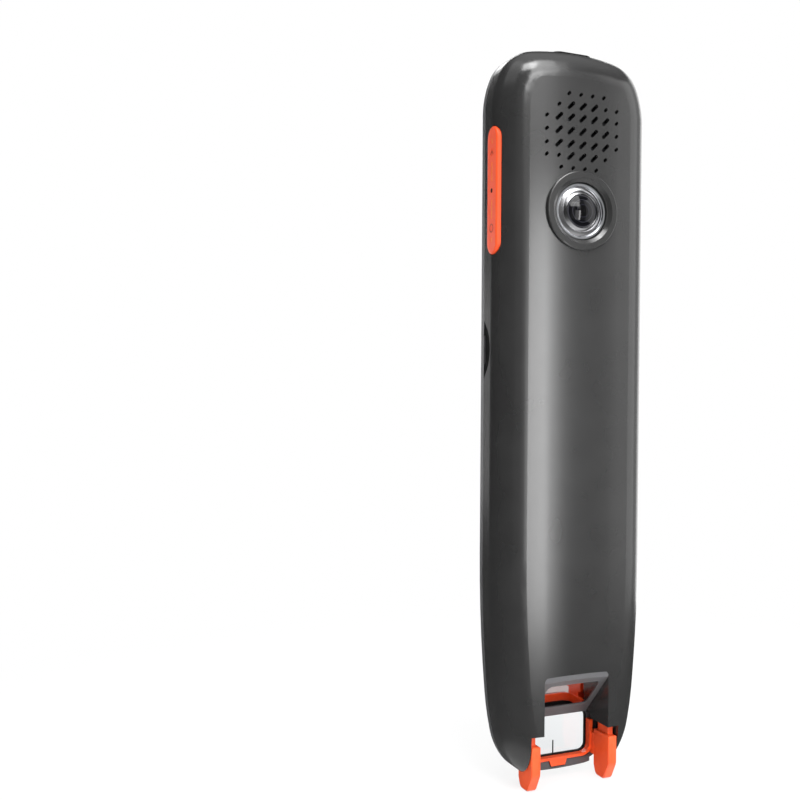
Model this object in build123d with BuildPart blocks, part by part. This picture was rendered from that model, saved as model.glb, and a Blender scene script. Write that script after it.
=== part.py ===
from build123d import *

import os
from math import cos, hypot, radians, sin, sqrt

# Scanning translation pen, standing upright on the two feet of its scan trigger.
# Millimetres. X runs across the pen, -Y is the screen side, +Y the back, Z runs up from the feet.

os.makedirs("parts", exist_ok=True)

# ---------------------------------------------------------------- driving dimensions

# Body
body_width = 37.0
body_length = 162.0
body_depth = 13.0
back_radius = 6.8  # rounding between the back and the sides, all the way round
back_crown_radius = 110.0  # the back is a little rounded from side to side
shell_wall = 1.4
foot_drop = 1.9  # how far the feet stand below the body

# Outline seen from the front, from tangent arcs
crown_radius = 65.0
crown_corner_radius = 9.0
shoulder_radius = 21.0
shoulder_drop = 14.5  # from the crown down to where the sides are straight
taper_start = 50.4  # above the tip, where the sides begin to draw in
taper_radius = 357.0
taper_angle = 5.0
flank_radius = 75.0
flank_angle = 7.0
cheek_radius = 16.5
tip_radius = 90.0
tip_corner_radius = 8.8

# Front: frame, glass and display
frame_band = 2.0  # depth of the frame's outer band
rim_width = 1.1
glass_thickness = 0.9
mask_thickness = 0.1
bond_gap = 0.05  # around glued glass
frame_edge_radius = 0.6
glass_edge_radius = 0.3
skirt_thickness = 0.8
skirt_depth = 1.2
fit_gap = 0.15  # between pieces that slide together when the pen is assembled
display_side = 3.3  # from the pen's side to the display
display_drop = 4.9  # from the crown down to the display
display_bottom = 27.0
display_corner = 3.0
display_thickness = 1.6
display_gap = 0.2
mask_lap = 0.5  # how far the print covers the display's edge

# Scan window in the front
window_width = 16.1
window_height = 9.8
window_bottom = 4.6
window_corner = 2.0
window_lap = 0.6  # how far the clear plate reaches behind the printed edge
mark_width = 0.28
mark_height = 3.1

# Scan head: the notch between the two legs
notch_width = 16.0
notch_corner = 1.4
leg_wall = 0.9
leg_floor = 1.0  # above the slot that each foot slides in; the leg's tip beside it is solid
slant_rise = 18.2  # height of the slanted roof where it crosses the middle of the pen's depth
scanner_frame_thickness = 0.8
roof_wall = 1.2
scanner_glass_width = 12.8
scanner_glass_low = -1.6  # where the glass begins, by depth
scanner_glass_high = 5.1
scanner_glass_recess = 0.2
scanner_corner = 1.2

# Scan trigger
trigger_travel = 1.2
trigger_gap = 0.2  # around the moving trigger
bezel_wall = 0.8
bezel_front_gap = 0.12
bezel_back = -2.6
bezel_lip = 0.6
bezel_top = 12.2
bar_back = -3.0
bar_height = 2.0
latch_width = 4.5
latch_bottom_width = 3.5
latch_drop = 1.4
latch_thickness = 0.5
latch_sink = 0.2
latch_gap = 0.15
foot_thickness = 2.2
foot_centre = 9.6
foot_front = -1.3
foot_rear = 5.6
foot_shoulder = 10.4
foot_slot_top = 12.8
foot_tip_front = -0.6
foot_tip_rise = 1.6
foot_tip_rear = 3.3
foot_tip_radius = 1.5
foot_bend = 4.0
foot_bend_radius = 3.0
foot_edge_radius = 0.35
stem_thickness = 1.3
stem_offset = 9.8
stem_front = -0.6
stem_rear = 4.0
stem_top = 23.5
rail_height = 5.0
rail_drop = 1.0
spring_radius = 0.85
spring_wire = 0.15
spring_depth = 2.7
spring_pitch = 0.85
spring_top = 28.5
trigger_switch_width = 2.9
trigger_switch_depth = 2.9
plunger_width = 1.2
plunger_reach = 0.7

# Chassis
chassis_thickness = 0.6
chassis_bottom = 26.6
standoff_height = 0.9
standoff_radius = 1.7
board_thickness = 0.8
board_bottom = 27.0
board_edge_gap = 0.6
flex_notch_width = 10.0
flex_notch_height = 4.0
flex_width = 7.0
flex_thickness = 0.15
flex_lap = 3.0
screw_head_radius = 1.2
screw_head_height = 0.6
screw_radius = 0.55
screw_hole_radius = 0.6
screw_span = 25.0
screw_low = 42.0
screw_battery_gap = 1.6
screw_drop = 11.9

# Battery
battery_width = 22.0
battery_height = 42.0
battery_thickness = 5.4
battery_bottom = 46.0
battery_corner = 2.0
pad_thickness = 0.3
pad_inset = 2.0

# Chips and small parts on the board
chip_size = 8.0
chip_thickness = 1.0
chip_x = -5.0
chip_drop = 51.9
shield_gap = 1.2
shield_wall = 0.2
shield_height = 1.5
power_chip_size = 4.0
power_chip_thickness = 0.9
power_chip_x = 5.0
antenna_length = 7.0
antenna_width = 2.0
antenna_height = 1.2
antenna_inset = 6.0
microphone_width = 3.5
microphone_height = 2.6
microphone_depth = 1.0
microphone_x = 6.9
microphone_hole_radius = 0.4

# Rear camera
camera_drop = 35.7  # from the crown down to the lens
lip_outer_radius = 8.7
lip_inner_radius = 6.7
lip_height = 0.6
lip_round = 0.25
dish_depth = 0.7
camera_bore_radius = 6.3
camera_bezel_radius = 6.2
camera_bezel_sink = 0.6
camera_bezel_land = 0.7
camera_bezel_depth = 1.8
camera_fit = 0.05
barrel_sink = 0.25  # from the ring's face down to the barrel's foot
barrel_rise = 0.65  # from the ring's face up to the barrel's crest
barrel_step_radius = 4.6
barrel_step_fall = 0.15
barrel_land = 0.8
barrel_depth = 3.0
lens_radius = 3.6
lens_thickness = 1.3
lens_rise = 0.5
lens_sag = 0.35
module_size = 8.6

# Speaker
speaker_drop = 18.5
slot_pitch = 2.88
slot_row_two = 5.5  # the outer rows stand a little closer together
slot_row_three = 8.05
slot_length = 2.3
slot_width = 0.8
slot_tilt = 45.0
dot_length = 1.1
dot_width = 0.65
slot_shift = 0.55  # how far the outer rows of dots lean with the slots
mesh_margin = 0.4
speaker_seat = 0.5  # how far the speaker's flat seat stands inside the rounded back
mesh_thickness = 0.15
gasket_wall = 1.0
gasket_thickness = 0.5
speaker_width = 19.0
speaker_height = 15.0
speaker_thickness = 3.2
speaker_lift = 1.5  # of the driver's middle above the middle of the slots
speaker_corner = 2.0

# USB port
usb_width = 8.94
usb_height = 3.16
usb_wall = 0.3
usb_depth = 7.3
usb_sink = 0.8  # below the crown
usb_tongue_width = 6.7
usb_tongue_thickness = 0.7
usb_tongue_length = 4.6
usb_gap = 0.12

# Side key
key_drop = 31.8
key_length = 27.7
key_width = 5.2
key_centre = -0.35
key_proud = 0.2
key_thickness = 2.5
key_gap = 0.15
key_edge_radius = 0.45
key_groove_width = 0.5
key_groove_depth = 0.12
key_mark_span = 16.3
key_dot_radius = 0.35
key_ring_radius = 0.95
key_ring_wall = 0.22
key_pin_radius = 0.55
key_pin_gap = 0.05
key_pin_inset = 0.9  # from the key's inner face to the pin's axis
key_lug_size = 1.8
key_lug_width = 3.0
key_board_thickness = 0.4
key_board_length = 24.5
key_board_inset = 5.0  # in from the pen's side
key_board_rear = 2.2
key_board_room = 2.0  # above and below the key, where the main board stays clear
bracket_thickness = 0.4
bracket_height = 4.4
bracket_ear = 0.6
bracket_ear_gap = 0.2
switch_height = 3.5
switch_width = 3.0
switch_depth = 1.3
switch_button_radius = 0.7
switch_button_height = 0.5

# Card slot and its plug
card_drop = 66.2
plug_length = 12.6
plug_bulge = 3.2
plug_gap = 0.06
plug_depth = 1.7
plug_stalk_thickness = 0.6
plug_stalk_length = 2.0
plug_notch_radius = 0.5
socket_length = 12.0
socket_width = 13.0
socket_height = 1.4
socket_wall = 0.2
socket_plug_gap = 0.5
socket_board_gap = 0.1

# Scanning camera and its light
scan_camera_size = 8.0
scan_camera_bottom = 34.0
scan_camera_depth = 5.4
scan_lens_radius = 2.4
scan_lens_length = 2.6
light_bar_length = 11.0
light_bar_width = 1.6
light_bar_thickness = 0.6
light_size = 1.0
light_pitch = 3.2
light_thickness = 0.3

# ---------------------------------------------------------------- derived places

front_y = -body_depth / 2
back_y = body_depth / 2
half_width = body_width / 2
base_z = foot_drop
top_z = base_z + body_length
parting_y = front_y + frame_band
glass_back_y = front_y + glass_thickness
mask_back_y = glass_back_y + mask_thickness
display_back_y = mask_back_y + display_thickness
chassis_back_y = display_back_y + chassis_thickness
board_front_y = chassis_back_y + standoff_height
board_y = board_front_y + board_thickness
inner_back_y = back_y - shell_wall
seat_y = inner_back_y - speaker_seat
half_notch = notch_width / 2
half_window = window_width / 2
window_middle = window_bottom + window_height / 2
foot_inner = foot_centre - foot_thickness / 2
foot_outer = foot_centre + foot_thickness / 2
slot_outer = foot_outer + trigger_gap
plug_inner_x = half_width - plug_depth
stalk_end_x = plug_inner_x - plug_stalk_length
socket_mouth_x = stalk_end_x - socket_plug_gap
socket_front_y = chassis_back_y + socket_board_gap
socket_back_y = socket_front_y + socket_height
far = 40.0  # longer than any cut has to be

# Heights that are measured down from the crown
camera_z = top_z - camera_drop
speaker_z = top_z - speaker_drop
key_z = top_z - key_drop
card_z = top_z - card_drop
chip_z = top_z - chip_drop
screw_high = top_z - screw_drop
screw_middle = battery_bottom + battery_height + screw_battery_gap
display_height = top_z - display_drop - display_bottom
key_board_x = half_width - key_board_inset
mesh_size = 2 * (3 * slot_pitch + dot_width / 2 + mesh_margin)
display_width = body_width - 2 * display_side

# The slanted roof over the notch rises one millimetre for each millimetre towards the back.
root_two = sqrt(2)
frame_rise = scanner_frame_thickness * root_two
roof_rise = roof_wall * root_two


# ---------------------------------------------------------------- helpers


def facing_front(y):
    """Sketch plane at this depth: local x is X and local y is Z."""
    return Plane.XZ.offset(-y)


def facing_side(x):
    """Sketch plane at this width: local x is Y and local y is Z."""
    return Plane.YZ.offset(x)


def block(low, high, mode=Mode.ADD):
    """Box between two opposite corners, in the part that is open."""
    size = [end - start for start, end in zip(low, high)]
    middle = [(end + start) / 2 for start, end in zip(low, high)]
    with Locations(tuple(middle)):
        Box(*size, mode=mode)


def crossing(centre_a, radius_a, centre_b, radius_b):
    """Where two circles cross, on the +X side."""
    gap_x = centre_b[0] - centre_a[0]
    gap_z = centre_b[1] - centre_a[1]
    gap = hypot(gap_x, gap_z)
    along = (gap**2 + radius_a**2 - radius_b**2) / (2 * gap)
    across = sqrt(radius_a**2 - along**2)
    foot_x = centre_a[0] + along * gap_x / gap
    foot_z = centre_a[1] + along * gap_z / gap
    one = (foot_x - across * gap_z / gap, foot_z + across * gap_x / gap)
    other = (foot_x + across * gap_z / gap, foot_z - across * gap_x / gap)
    return max(one, other)


def finish(part, name):
    """Label a finished piece and write it."""
    part.label = name
    export_step(part, f"parts/{name}.step")


# ---------------------------------------------------------------- the pen's outline

crown_centre = (0, top_z - crown_radius)
shoulder_centre = (half_width - shoulder_radius, top_z - shoulder_drop)
taper_z = base_z + taper_start
taper_centre = (half_width - taper_radius, taper_z)
cheek_angle = taper_angle + flank_angle


def at_angle(centre, radius, degrees_down):
    """Point on a circle, this far below its +X side."""
    return (centre[0] + radius * cos(radians(degrees_down)), centre[1] - radius * sin(radians(degrees_down)))


flank_centre = at_angle(taper_centre, taper_radius - flank_radius, taper_angle)
cheek_centre = at_angle(flank_centre, flank_radius - cheek_radius, cheek_angle)
tip_centre = (0, base_z + tip_radius)


def arc_between(centre, radius, start, end):
    """Arc about a centre, from one point to another, bulging away from the centre."""
    middle_x = (start[0] + end[0]) / 2 - centre[0]
    middle_z = (start[1] + end[1]) / 2 - centre[1]
    reach = radius / hypot(middle_x, middle_z)
    middle = (centre[0] + middle_x * reach, centre[1] + middle_z * reach)
    return ThreePointArc(start, middle, end)


def pen_face(inset=0):
    """The pen's outline, or one that runs inside it at an even distance."""
    crown = crown_radius - inset
    shoulder = shoulder_radius - inset
    taper = taper_radius - inset
    flank = flank_radius - inset
    cheek = cheek_radius - inset
    tip = tip_radius - inset
    side_x = half_width - inset
    crown_corner = crossing(crown_centre, crown, shoulder_centre, shoulder)
    tip_corner = crossing(tip_centre, tip, cheek_centre, cheek)
    taper_end = at_angle(taper_centre, taper, taper_angle)
    flank_end = at_angle(flank_centre, flank, cheek_angle)
    with BuildSketch() as outline:
        with BuildLine():
            arc_between(crown_centre, crown, (0, top_z - inset), crown_corner)
            arc_between(shoulder_centre, shoulder, crown_corner, (side_x, shoulder_centre[1]))
            Line((side_x, shoulder_centre[1]), (side_x, taper_z))
            arc_between(taper_centre, taper, (side_x, taper_z), taper_end)
            arc_between(flank_centre, flank, taper_end, flank_end)
            arc_between(cheek_centre, cheek, flank_end, tip_corner)
            arc_between(tip_centre, tip, tip_corner, (0, base_z + inset))
            mirror(about=Plane.YZ)
        make_face()
        corners = outline.vertices()
        high_corners = corners.filter_by(lambda corner: abs(corner.Y - crown_corner[1]) < bond_gap)
        fillet(high_corners, crown_corner_radius - inset)
        corners = outline.vertices()
        low_corners = corners.filter_by(lambda corner: abs(corner.Y - tip_corner[1]) < bond_gap)
        fillet(low_corners, tip_corner_radius - inset)
    return outline.sketch


# ---------------------------------------------------------------- forms that several pieces are cut from

# The body's outer form behind the front frame
with BuildPart() as body_form:
    with BuildSketch(facing_front(parting_y)):
        add(pen_face())
    extrude(amount=parting_y - back_y)
    with BuildSketch():
        with Locations((0, back_y - back_crown_radius)):
            Circle(back_crown_radius)
    extrude(amount=top_z, mode=Mode.INTERSECT)
    fillet(body_form.faces().sort_by(Axis.Y)[-1].edges(), back_radius)

# The room inside it, which leaves the walls of the scan head standing
with BuildPart() as shell_room:
    with BuildSketch(facing_front(parting_y - 1)):
        add(pen_face(shell_wall))
    extrude(amount=parting_y - 1 - inner_back_y)
    with BuildSketch():
        with Locations((0, back_y - back_crown_radius)):
            Circle(back_crown_radius - shell_wall)
    extrude(amount=top_z, mode=Mode.INTERSECT)
    fillet(shell_room.faces().sort_by(Axis.Y)[-1].edges(), back_radius - shell_wall)
    with BuildSketch(facing_side(0)):
        with BuildLine():
            head_front = parting_y - 2
            head_back = back_y + 2
            head_rise = slant_rise + frame_rise + roof_rise
            Polyline(
                (head_front, 0),
                (head_back, 0),
                (head_back, head_back + head_rise),
                (head_front, head_front + head_rise),
                close=True,
            )
        make_face()
    extrude(amount=half_notch + leg_wall, both=True, mode=Mode.SUBTRACT)
    block((-far, -far, 0), (far, far, foot_slot_top + leg_floor), mode=Mode.SUBTRACT)

# Rounded upper corners of the notch, at the back
with BuildPart() as notch_corners:
    with BuildSketch(facing_front(back_y)):
        notch_top = back_y + slant_rise + frame_rise
        with Locations((0, notch_top)):
            Rectangle(notch_width, 2 * notch_corner)
        with Locations((0, notch_top - far / 2)):
            RectangleRounded(notch_width, far, notch_corner, mode=Mode.SUBTRACT)
    extrude(amount=notch_corner)
    add(body_form.part, mode=Mode.INTERSECT)

# ---------------------------------------------------------------- rear shell

# Rows of the speaker's openings: slots in the middle, dots around them
slot_places = []
dot_places = []
for row in (-1, 0, 1):
    row_z = speaker_z + row * slot_pitch
    for column in (-2, -1, 0, 1, 2):
        slot_places.append((column * slot_pitch, row_z))
    for column in (-3, 3):
        dot_places.append((column * slot_pitch, row_z))
for side in (-1, 1):
    for column in (-1, 0, 1):
        slot_places.append((column * slot_pitch, speaker_z + side * slot_row_two))
    for column in (-3, -2, 2):
        dot_places.append((side * column * slot_pitch, speaker_z + side * slot_row_two))
    for column in (-2, -1, 0, 1):
        dot_places.append((side * (column * slot_pitch + slot_shift), speaker_z + side * slot_row_three))

with BuildPart() as rear_shell:
    add(body_form.part)
    add(shell_room.part, mode=Mode.SUBTRACT)

    # Notch between the legs, under the slanted roof
    with BuildSketch(facing_side(0)):
        with BuildLine():
            notch_rise = slant_rise + frame_rise
            Polyline(
                (head_front, 0),
                (head_back, 0),
                (head_back, head_back + notch_rise),
                (head_front, head_front + notch_rise),
                close=True,
            )
        make_face()
    extrude(amount=half_notch, both=True, mode=Mode.SUBTRACT)
    add(notch_corners.part)

    # Slots that the two feet slide in, and the way the trigger frame passes into them
    for side in (-1, 1):
        inner = side * (half_notch - 0.5)
        outer = side * slot_outer
        low_x = min(inner, outer)
        high_x = max(inner, outer)
        arm_x = side * half_window - bezel_wall - trigger_gap
        block(
            (arm_x, head_front, 0),
            (
                arm_x + 2 * (bezel_wall + trigger_gap),
                bezel_back + trigger_gap,
                bezel_top + trigger_travel + trigger_gap,
            ),
            mode=Mode.SUBTRACT,
        )
        block((low_x, head_front, 0), (high_x, head_back, foot_slot_top), mode=Mode.SUBTRACT)
        channel_x = side * stem_offset - stem_thickness / 2 - trigger_gap
        block(
            (channel_x, stem_front - trigger_gap, foot_slot_top - 1),
            (
                channel_x + stem_thickness + 2 * trigger_gap,
                stem_rear + trigger_gap,
                foot_slot_top + leg_floor + 1,
            ),
            mode=Mode.SUBTRACT,
        )

    # Light path through the slanted roof
    roof_middle = (scanner_glass_low + scanner_glass_high) / 2
    roof_plane = Plane(
        origin=(0, roof_middle, roof_middle + slant_rise),
        x_dir=(1, 0, 0),
        z_dir=(0, -1, 1),
    )
    roof_length = (scanner_glass_high - scanner_glass_low) * root_two
    with BuildSketch(roof_plane):
        RectangleRounded(scanner_glass_width - 2, roof_length - 2, scanner_corner)
    extrude(amount=(frame_rise + roof_rise + 2) / root_two, mode=Mode.SUBTRACT)

    # Ribs that the trigger springs push against
    for side in (-1, 1):
        rib_low = side * stem_offset - spring_radius - 0.6
        rib_high = side * stem_offset + spring_radius + 0.6
        block(
            (rib_low, spring_depth - spring_radius - 0.4, spring_top),
            (rib_high, inner_back_y + 0.4, spring_top + 1.2),
        )

    # Flat seat for the speaker, inside the rounded back
    block(
        (-mesh_size / 2 - mesh_margin, seat_y, speaker_z - mesh_size / 2 - mesh_margin),
        (mesh_size / 2 + mesh_margin, inner_back_y + bond_gap, speaker_z + mesh_size / 2 + mesh_margin),
    )

    # Raised lip and dished seat of the camera
    with BuildSketch(facing_front(back_y - speaker_seat)):
        with Locations((0, camera_z)):
            Circle(lip_outer_radius)
    extrude(amount=-(lip_height + speaker_seat))
    lip_edges = rear_shell.edges().filter_by(GeomType.CIRCLE).filter_by_position(
        Axis.Y, back_y + lip_height - 0.01, back_y + lip_height + 0.01
    )
    fillet(lip_edges, lip_height - lip_round)
    with BuildSketch(facing_side(0)):
        with BuildLine():
            crest_y = back_y + lip_height
            Polyline(
                (crest_y + 0.5, camera_z),
                (crest_y + 0.5, camera_z + lip_inner_radius + 0.9),
                (crest_y - 0.1, camera_z + lip_inner_radius + 0.5),
                (crest_y - dish_depth, camera_z + camera_bore_radius + 0.15),
                (crest_y - dish_depth, camera_z + camera_bore_radius),
                (seat_y - 1, camera_z + camera_bore_radius),
                (seat_y - 1, camera_z),
                close=True,
            )
        make_face()
    revolve(axis=Axis((0, 0, camera_z), (0, 1, 0)), mode=Mode.SUBTRACT)

    # Speaker slots and dots
    with BuildSketch(facing_front(back_y)):
        with Locations(*slot_places):
            SlotOverall(slot_length, slot_width, rotation=180 - slot_tilt)
        with Locations(*dot_places):
            SlotOverall(dot_length, dot_width, rotation=180 - slot_tilt)
    extrude(amount=shell_wall + 2 * speaker_seat, both=True, mode=Mode.SUBTRACT)

    # Openings in the crown for the USB port and the microphone
    with BuildSketch(Plane.XY.offset(top_z - shoulder_drop)):
        SlotOverall(usb_width + 2 * usb_gap, usb_height + 2 * usb_gap)
        with Locations((microphone_x, 0)):
            Circle(microphone_hole_radius)
    extrude(amount=far, mode=Mode.SUBTRACT)

    # Opening for the side key
    with BuildSketch(facing_side(key_board_x)):
        with Locations((key_centre, key_z)):
            SlotOverall(key_length + 2 * key_gap, key_width + 2 * key_gap, rotation=90)
    extrude(amount=far, mode=Mode.SUBTRACT)

    # Opening for the card slot's plug
    plug_radius = (plug_length**2 / 4 + plug_bulge**2) / (2 * plug_bulge)
    plug_centre_y = parting_y + plug_bulge - plug_radius
    with BuildSketch(facing_side(key_board_x)):
        with Locations((plug_centre_y, card_z)):
            Circle(plug_radius + plug_gap)
    extrude(amount=far, mode=Mode.SUBTRACT)
finish(rear_shell.part, "rear_shell")

# ---------------------------------------------------------------- front frame

skirt_outset = shell_wall + fit_gap
with BuildPart() as front_frame:
    with BuildSketch(facing_front(front_y)):
        add(pen_face())
    extrude(amount=-frame_band)
    fillet(front_frame.faces().sort_by(Axis.Y)[0].edges(), frame_edge_radius)

    # Skirt that plugs into the rear shell
    with BuildSketch(facing_front(parting_y)):
        add(pen_face(skirt_outset))
        with BuildSketch(mode=Mode.SUBTRACT):
            add(pen_face(skirt_outset + skirt_thickness))
        with Locations((0, (display_bottom + top_z) / 2 + 2)):
            Rectangle(body_width, top_z - display_bottom, mode=Mode.INTERSECT)
    extrude(amount=-skirt_depth)

    # Bar under the scan window, with the recess that the trigger's latch slides in
    with BuildSketch(facing_front(parting_y)):
        add(pen_face())
        with Locations((0, base_z)):
            Rectangle(2 * (foot_inner - trigger_gap), 2 * bar_height, mode=Mode.INTERSECT)
    extrude(amount=parting_y - bar_back)
    with BuildSketch(facing_front(bar_back)):
        with BuildLine():
            recess_low = base_z + bar_height - latch_drop - latch_gap
            Polyline(
                (-latch_width / 2 - latch_gap, base_z + 2 * bar_height),
                (-latch_width / 2 - latch_gap, base_z + bar_height),
                (-latch_bottom_width / 2 - latch_gap, recess_low),
                (latch_bottom_width / 2 + latch_gap, recess_low),
                (latch_width / 2 + latch_gap, base_z + bar_height),
                (latch_width / 2 + latch_gap, base_z + 2 * bar_height),
                close=True,
            )
        make_face()
    extrude(amount=latch_sink + latch_gap, mode=Mode.SUBTRACT)

    # Pocket for the glass, with the display's opening and the scan window's opening behind it
    with BuildSketch(facing_front(front_y)):
        add(pen_face(rim_width - bond_gap))
    extrude(amount=front_y - mask_back_y, mode=Mode.SUBTRACT)
    with BuildSketch(facing_front(front_y)):
        with Locations((0, display_bottom + display_height / 2)):
            RectangleRounded(
                display_width + 2 * display_gap,
                display_height + 2 * display_gap,
                display_corner + display_gap,
            )
        with Locations((0, window_middle)):
            RectangleRounded(window_width + 0.2, window_height + 0.2, window_corner)
    extrude(amount=-(frame_band + skirt_depth), mode=Mode.SUBTRACT)
    # Relief in the skirt for the plug of the card slot and for the crown's port
    block(
        (half_width - far / 2, parting_y, card_z - plug_length / 2 - fit_gap),
        (half_width, parting_y + skirt_depth + 1, card_z + plug_length / 2 + fit_gap),
        mode=Mode.SUBTRACT,
    )
finish(front_frame.part, "front_frame")

# ---------------------------------------------------------------- glass, printed mask and scan window

with BuildPart() as cover_glass:
    with BuildSketch(facing_front(front_y)):
        add(pen_face(rim_width))
        with Locations((0, window_middle)):
            RectangleRounded(
                window_width + 2 * window_lap + 2 * bond_gap,
                window_height + 2 * window_lap + 2 * bond_gap,
                window_corner + window_lap,
                mode=Mode.SUBTRACT,
            )
    extrude(amount=-glass_thickness)
    glass_rim = cover_glass.faces().sort_by(Axis.Y)[0].outer_wire().edges()
    fillet(glass_rim, glass_edge_radius)
finish(cover_glass.part, "cover_glass")

with BuildPart() as scan_window:
    with BuildSketch(facing_front(front_y)):
        with Locations((0, window_middle)):
            RectangleRounded(
                window_width + 2 * window_lap,
                window_height + 2 * window_lap,
                window_corner + window_lap - bond_gap,
            )
    extrude(amount=-glass_thickness)
finish(scan_window.part, "scan_window")

with BuildPart() as bezel_mask:
    with BuildSketch(facing_front(glass_back_y)):
        add(pen_face(rim_width))
        with Locations((0, display_bottom + display_height / 2)):
            RectangleRounded(
                display_width - 2 * mask_lap,
                display_height - 2 * mask_lap,
                display_corner - mask_lap,
                mode=Mode.SUBTRACT,
            )
        with Locations((0, window_middle)):
            RectangleRounded(window_width, window_height, window_corner, mode=Mode.SUBTRACT)
        with Locations((0, window_bottom + (mark_height - bond_gap) / 2)):
            Rectangle(mark_width, mark_height + bond_gap)
    extrude(amount=-mask_thickness)
finish(bezel_mask.part, "bezel_mask")

with BuildPart() as display_panel:
    with BuildSketch(facing_front(mask_back_y)):
        with Locations((0, display_bottom + display_height / 2)):
            RectangleRounded(display_width, display_height, display_corner)
    extrude(amount=-display_thickness)
finish(display_panel.part, "display_panel")

# ---------------------------------------------------------------- chassis plate and main board

screw_places = []
for height in (screw_low, screw_middle, screw_high):
    for side in (-1, 1):
        screw_places.append((side * screw_span / 2, height))

with BuildPart() as chassis_plate:
    with BuildSketch(facing_front(display_back_y)):
        add(pen_face(skirt_outset + skirt_thickness + bond_gap))
        with Locations((0, (chassis_bottom + top_z) / 2)):
            Rectangle(body_width, top_z - chassis_bottom, mode=Mode.INTERSECT)
        with Locations((0, chassis_bottom)):
            Rectangle(flex_notch_width, 2 * flex_notch_height, mode=Mode.SUBTRACT)
    extrude(amount=-chassis_thickness)
    with BuildSketch(facing_front(chassis_back_y)):
        with Locations(*screw_places):
            Circle(standoff_radius)
    extrude(amount=-standoff_height)
    with BuildSketch(facing_front(display_back_y)):
        with Locations(*screw_places):
            Circle(screw_hole_radius)
    extrude(amount=-(chassis_thickness + standoff_height), mode=Mode.SUBTRACT)
finish(chassis_plate.part, "chassis_plate")

with BuildPart() as main_board:
    with BuildSketch(facing_front(board_front_y)):
        add(pen_face(shell_wall + board_edge_gap))
        board_top = top_z - usb_sink - 2.0
        with Locations((0, (board_bottom + board_top) / 2)):
            Rectangle(body_width, board_top - board_bottom, mode=Mode.INTERSECT)
        with Locations((0, board_bottom)):
            Rectangle(flex_notch_width, 2 * flex_notch_height, mode=Mode.SUBTRACT)
        with Locations((half_width, key_z)):
            Rectangle(2 * key_board_inset, key_length + 2 * key_board_room, mode=Mode.SUBTRACT)
        with Locations((half_width, card_z)):
            Rectangle(2 * (plug_depth + plug_stalk_length), plug_length, mode=Mode.SUBTRACT)
            Rectangle(
                2 * (half_width - socket_mouth_x + socket_width + socket_board_gap),
                socket_length + 2 * socket_board_gap,
                mode=Mode.SUBTRACT,
            )
        with Locations(*screw_places):
            Circle(screw_hole_radius, mode=Mode.SUBTRACT)
    extrude(amount=-board_thickness)
finish(main_board.part, "main_board")

with BuildPart() as board_screws:
    with BuildSketch(facing_front(board_y)):
        with Locations(*screw_places):
            Circle(screw_head_radius)
    extrude(amount=-screw_head_height)
    with BuildSketch(facing_front(board_y)):
        with Locations(*screw_places):
            Circle(screw_radius)
    extrude(amount=board_thickness + standoff_height + chassis_thickness)
    with BuildSketch(facing_front(board_y + screw_head_height)):
        with Locations(*screw_places):
            Rectangle(screw_head_radius, 0.25)
            Rectangle(0.25, screw_head_radius)
    extrude(amount=screw_head_height / 2, mode=Mode.SUBTRACT)
finish(board_screws.part, "board_screws")

# Ribbon that leaves the foot of the display, passes the notch and lies on the board
with BuildPart() as display_ribbon:
    ribbon_low = board_bottom + 1
    block(
        (-flex_width / 2, display_back_y, ribbon_low),
        (flex_width / 2, display_back_y + flex_thickness, ribbon_low + flex_lap - 1),
    )
    block(
        (-flex_width / 2, display_back_y, ribbon_low),
        (flex_width / 2, board_y + flex_thickness, ribbon_low + flex_thickness),
    )
    block(
        (-flex_width / 2, board_y, ribbon_low),
        (flex_width / 2, board_y + flex_thickness, board_bottom + flex_notch_height + flex_lap - 1),
    )
finish(display_ribbon.part, "display_ribbon")

# ---------------------------------------------------------------- battery

with BuildPart() as battery_pad:
    block(
        (pad_inset - battery_width / 2, board_y, battery_bottom + pad_inset),
        (
            battery_width / 2 - pad_inset,
            board_y + pad_thickness,
            battery_bottom + battery_height - pad_inset,
        ),
    )
finish(battery_pad.part, "battery_pad")

with BuildPart() as battery:
    block(
        (-battery_width / 2, board_y + pad_thickness, battery_bottom),
        (battery_width / 2, board_y + pad_thickness + battery_thickness, battery_bottom + battery_height),
    )
    fillet(battery.edges().filter_by(Axis.Z), battery_corner)
finish(battery.part, "battery")

# ---------------------------------------------------------------- chips and small parts on the board

with BuildPart() as processor:
    with BuildSketch(facing_front(board_y)):
        with Locations((chip_x, chip_z)):
            Rectangle(chip_size, chip_size)
    extrude(amount=-chip_thickness)
    chamfer(processor.faces().sort_by(Axis.Y)[-1].edges(), 0.15)
finish(processor.part, "processor")

with BuildPart() as shield_can:
    can_size = chip_size + 2 * (shield_gap + shield_wall)
    with BuildSketch(facing_front(board_y)):
        with Locations((chip_x, chip_z)):
            RectangleRounded(can_size, can_size, shield_gap)
    extrude(amount=-shield_height)
    with BuildSketch(facing_front(board_y)):
        with Locations((chip_x, chip_z)):
            Rectangle(chip_size + 2 * shield_gap, chip_size + 2 * shield_gap)
    extrude(amount=-(shield_height - shield_wall), mode=Mode.SUBTRACT)
finish(shield_can.part, "shield_can")

with BuildPart() as power_chip:
    with BuildSketch(facing_front(board_y)):
        with Locations((power_chip_x, chip_z)):
            Rectangle(power_chip_size, power_chip_size)
    extrude(amount=-power_chip_thickness)
    chamfer(power_chip.faces().sort_by(Axis.Y)[-1].edges(), 0.15)
finish(power_chip.part, "power_chip")

with BuildPart() as antenna:
    with BuildSketch(facing_front(board_y)):
        with Locations((antenna_inset - half_width, chip_z)):
            Rectangle(antenna_width, antenna_length)
    extrude(amount=-antenna_height)
    chamfer(antenna.faces().sort_by(Axis.Y)[-1].edges(), 0.2)
finish(antenna.part, "antenna")

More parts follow.
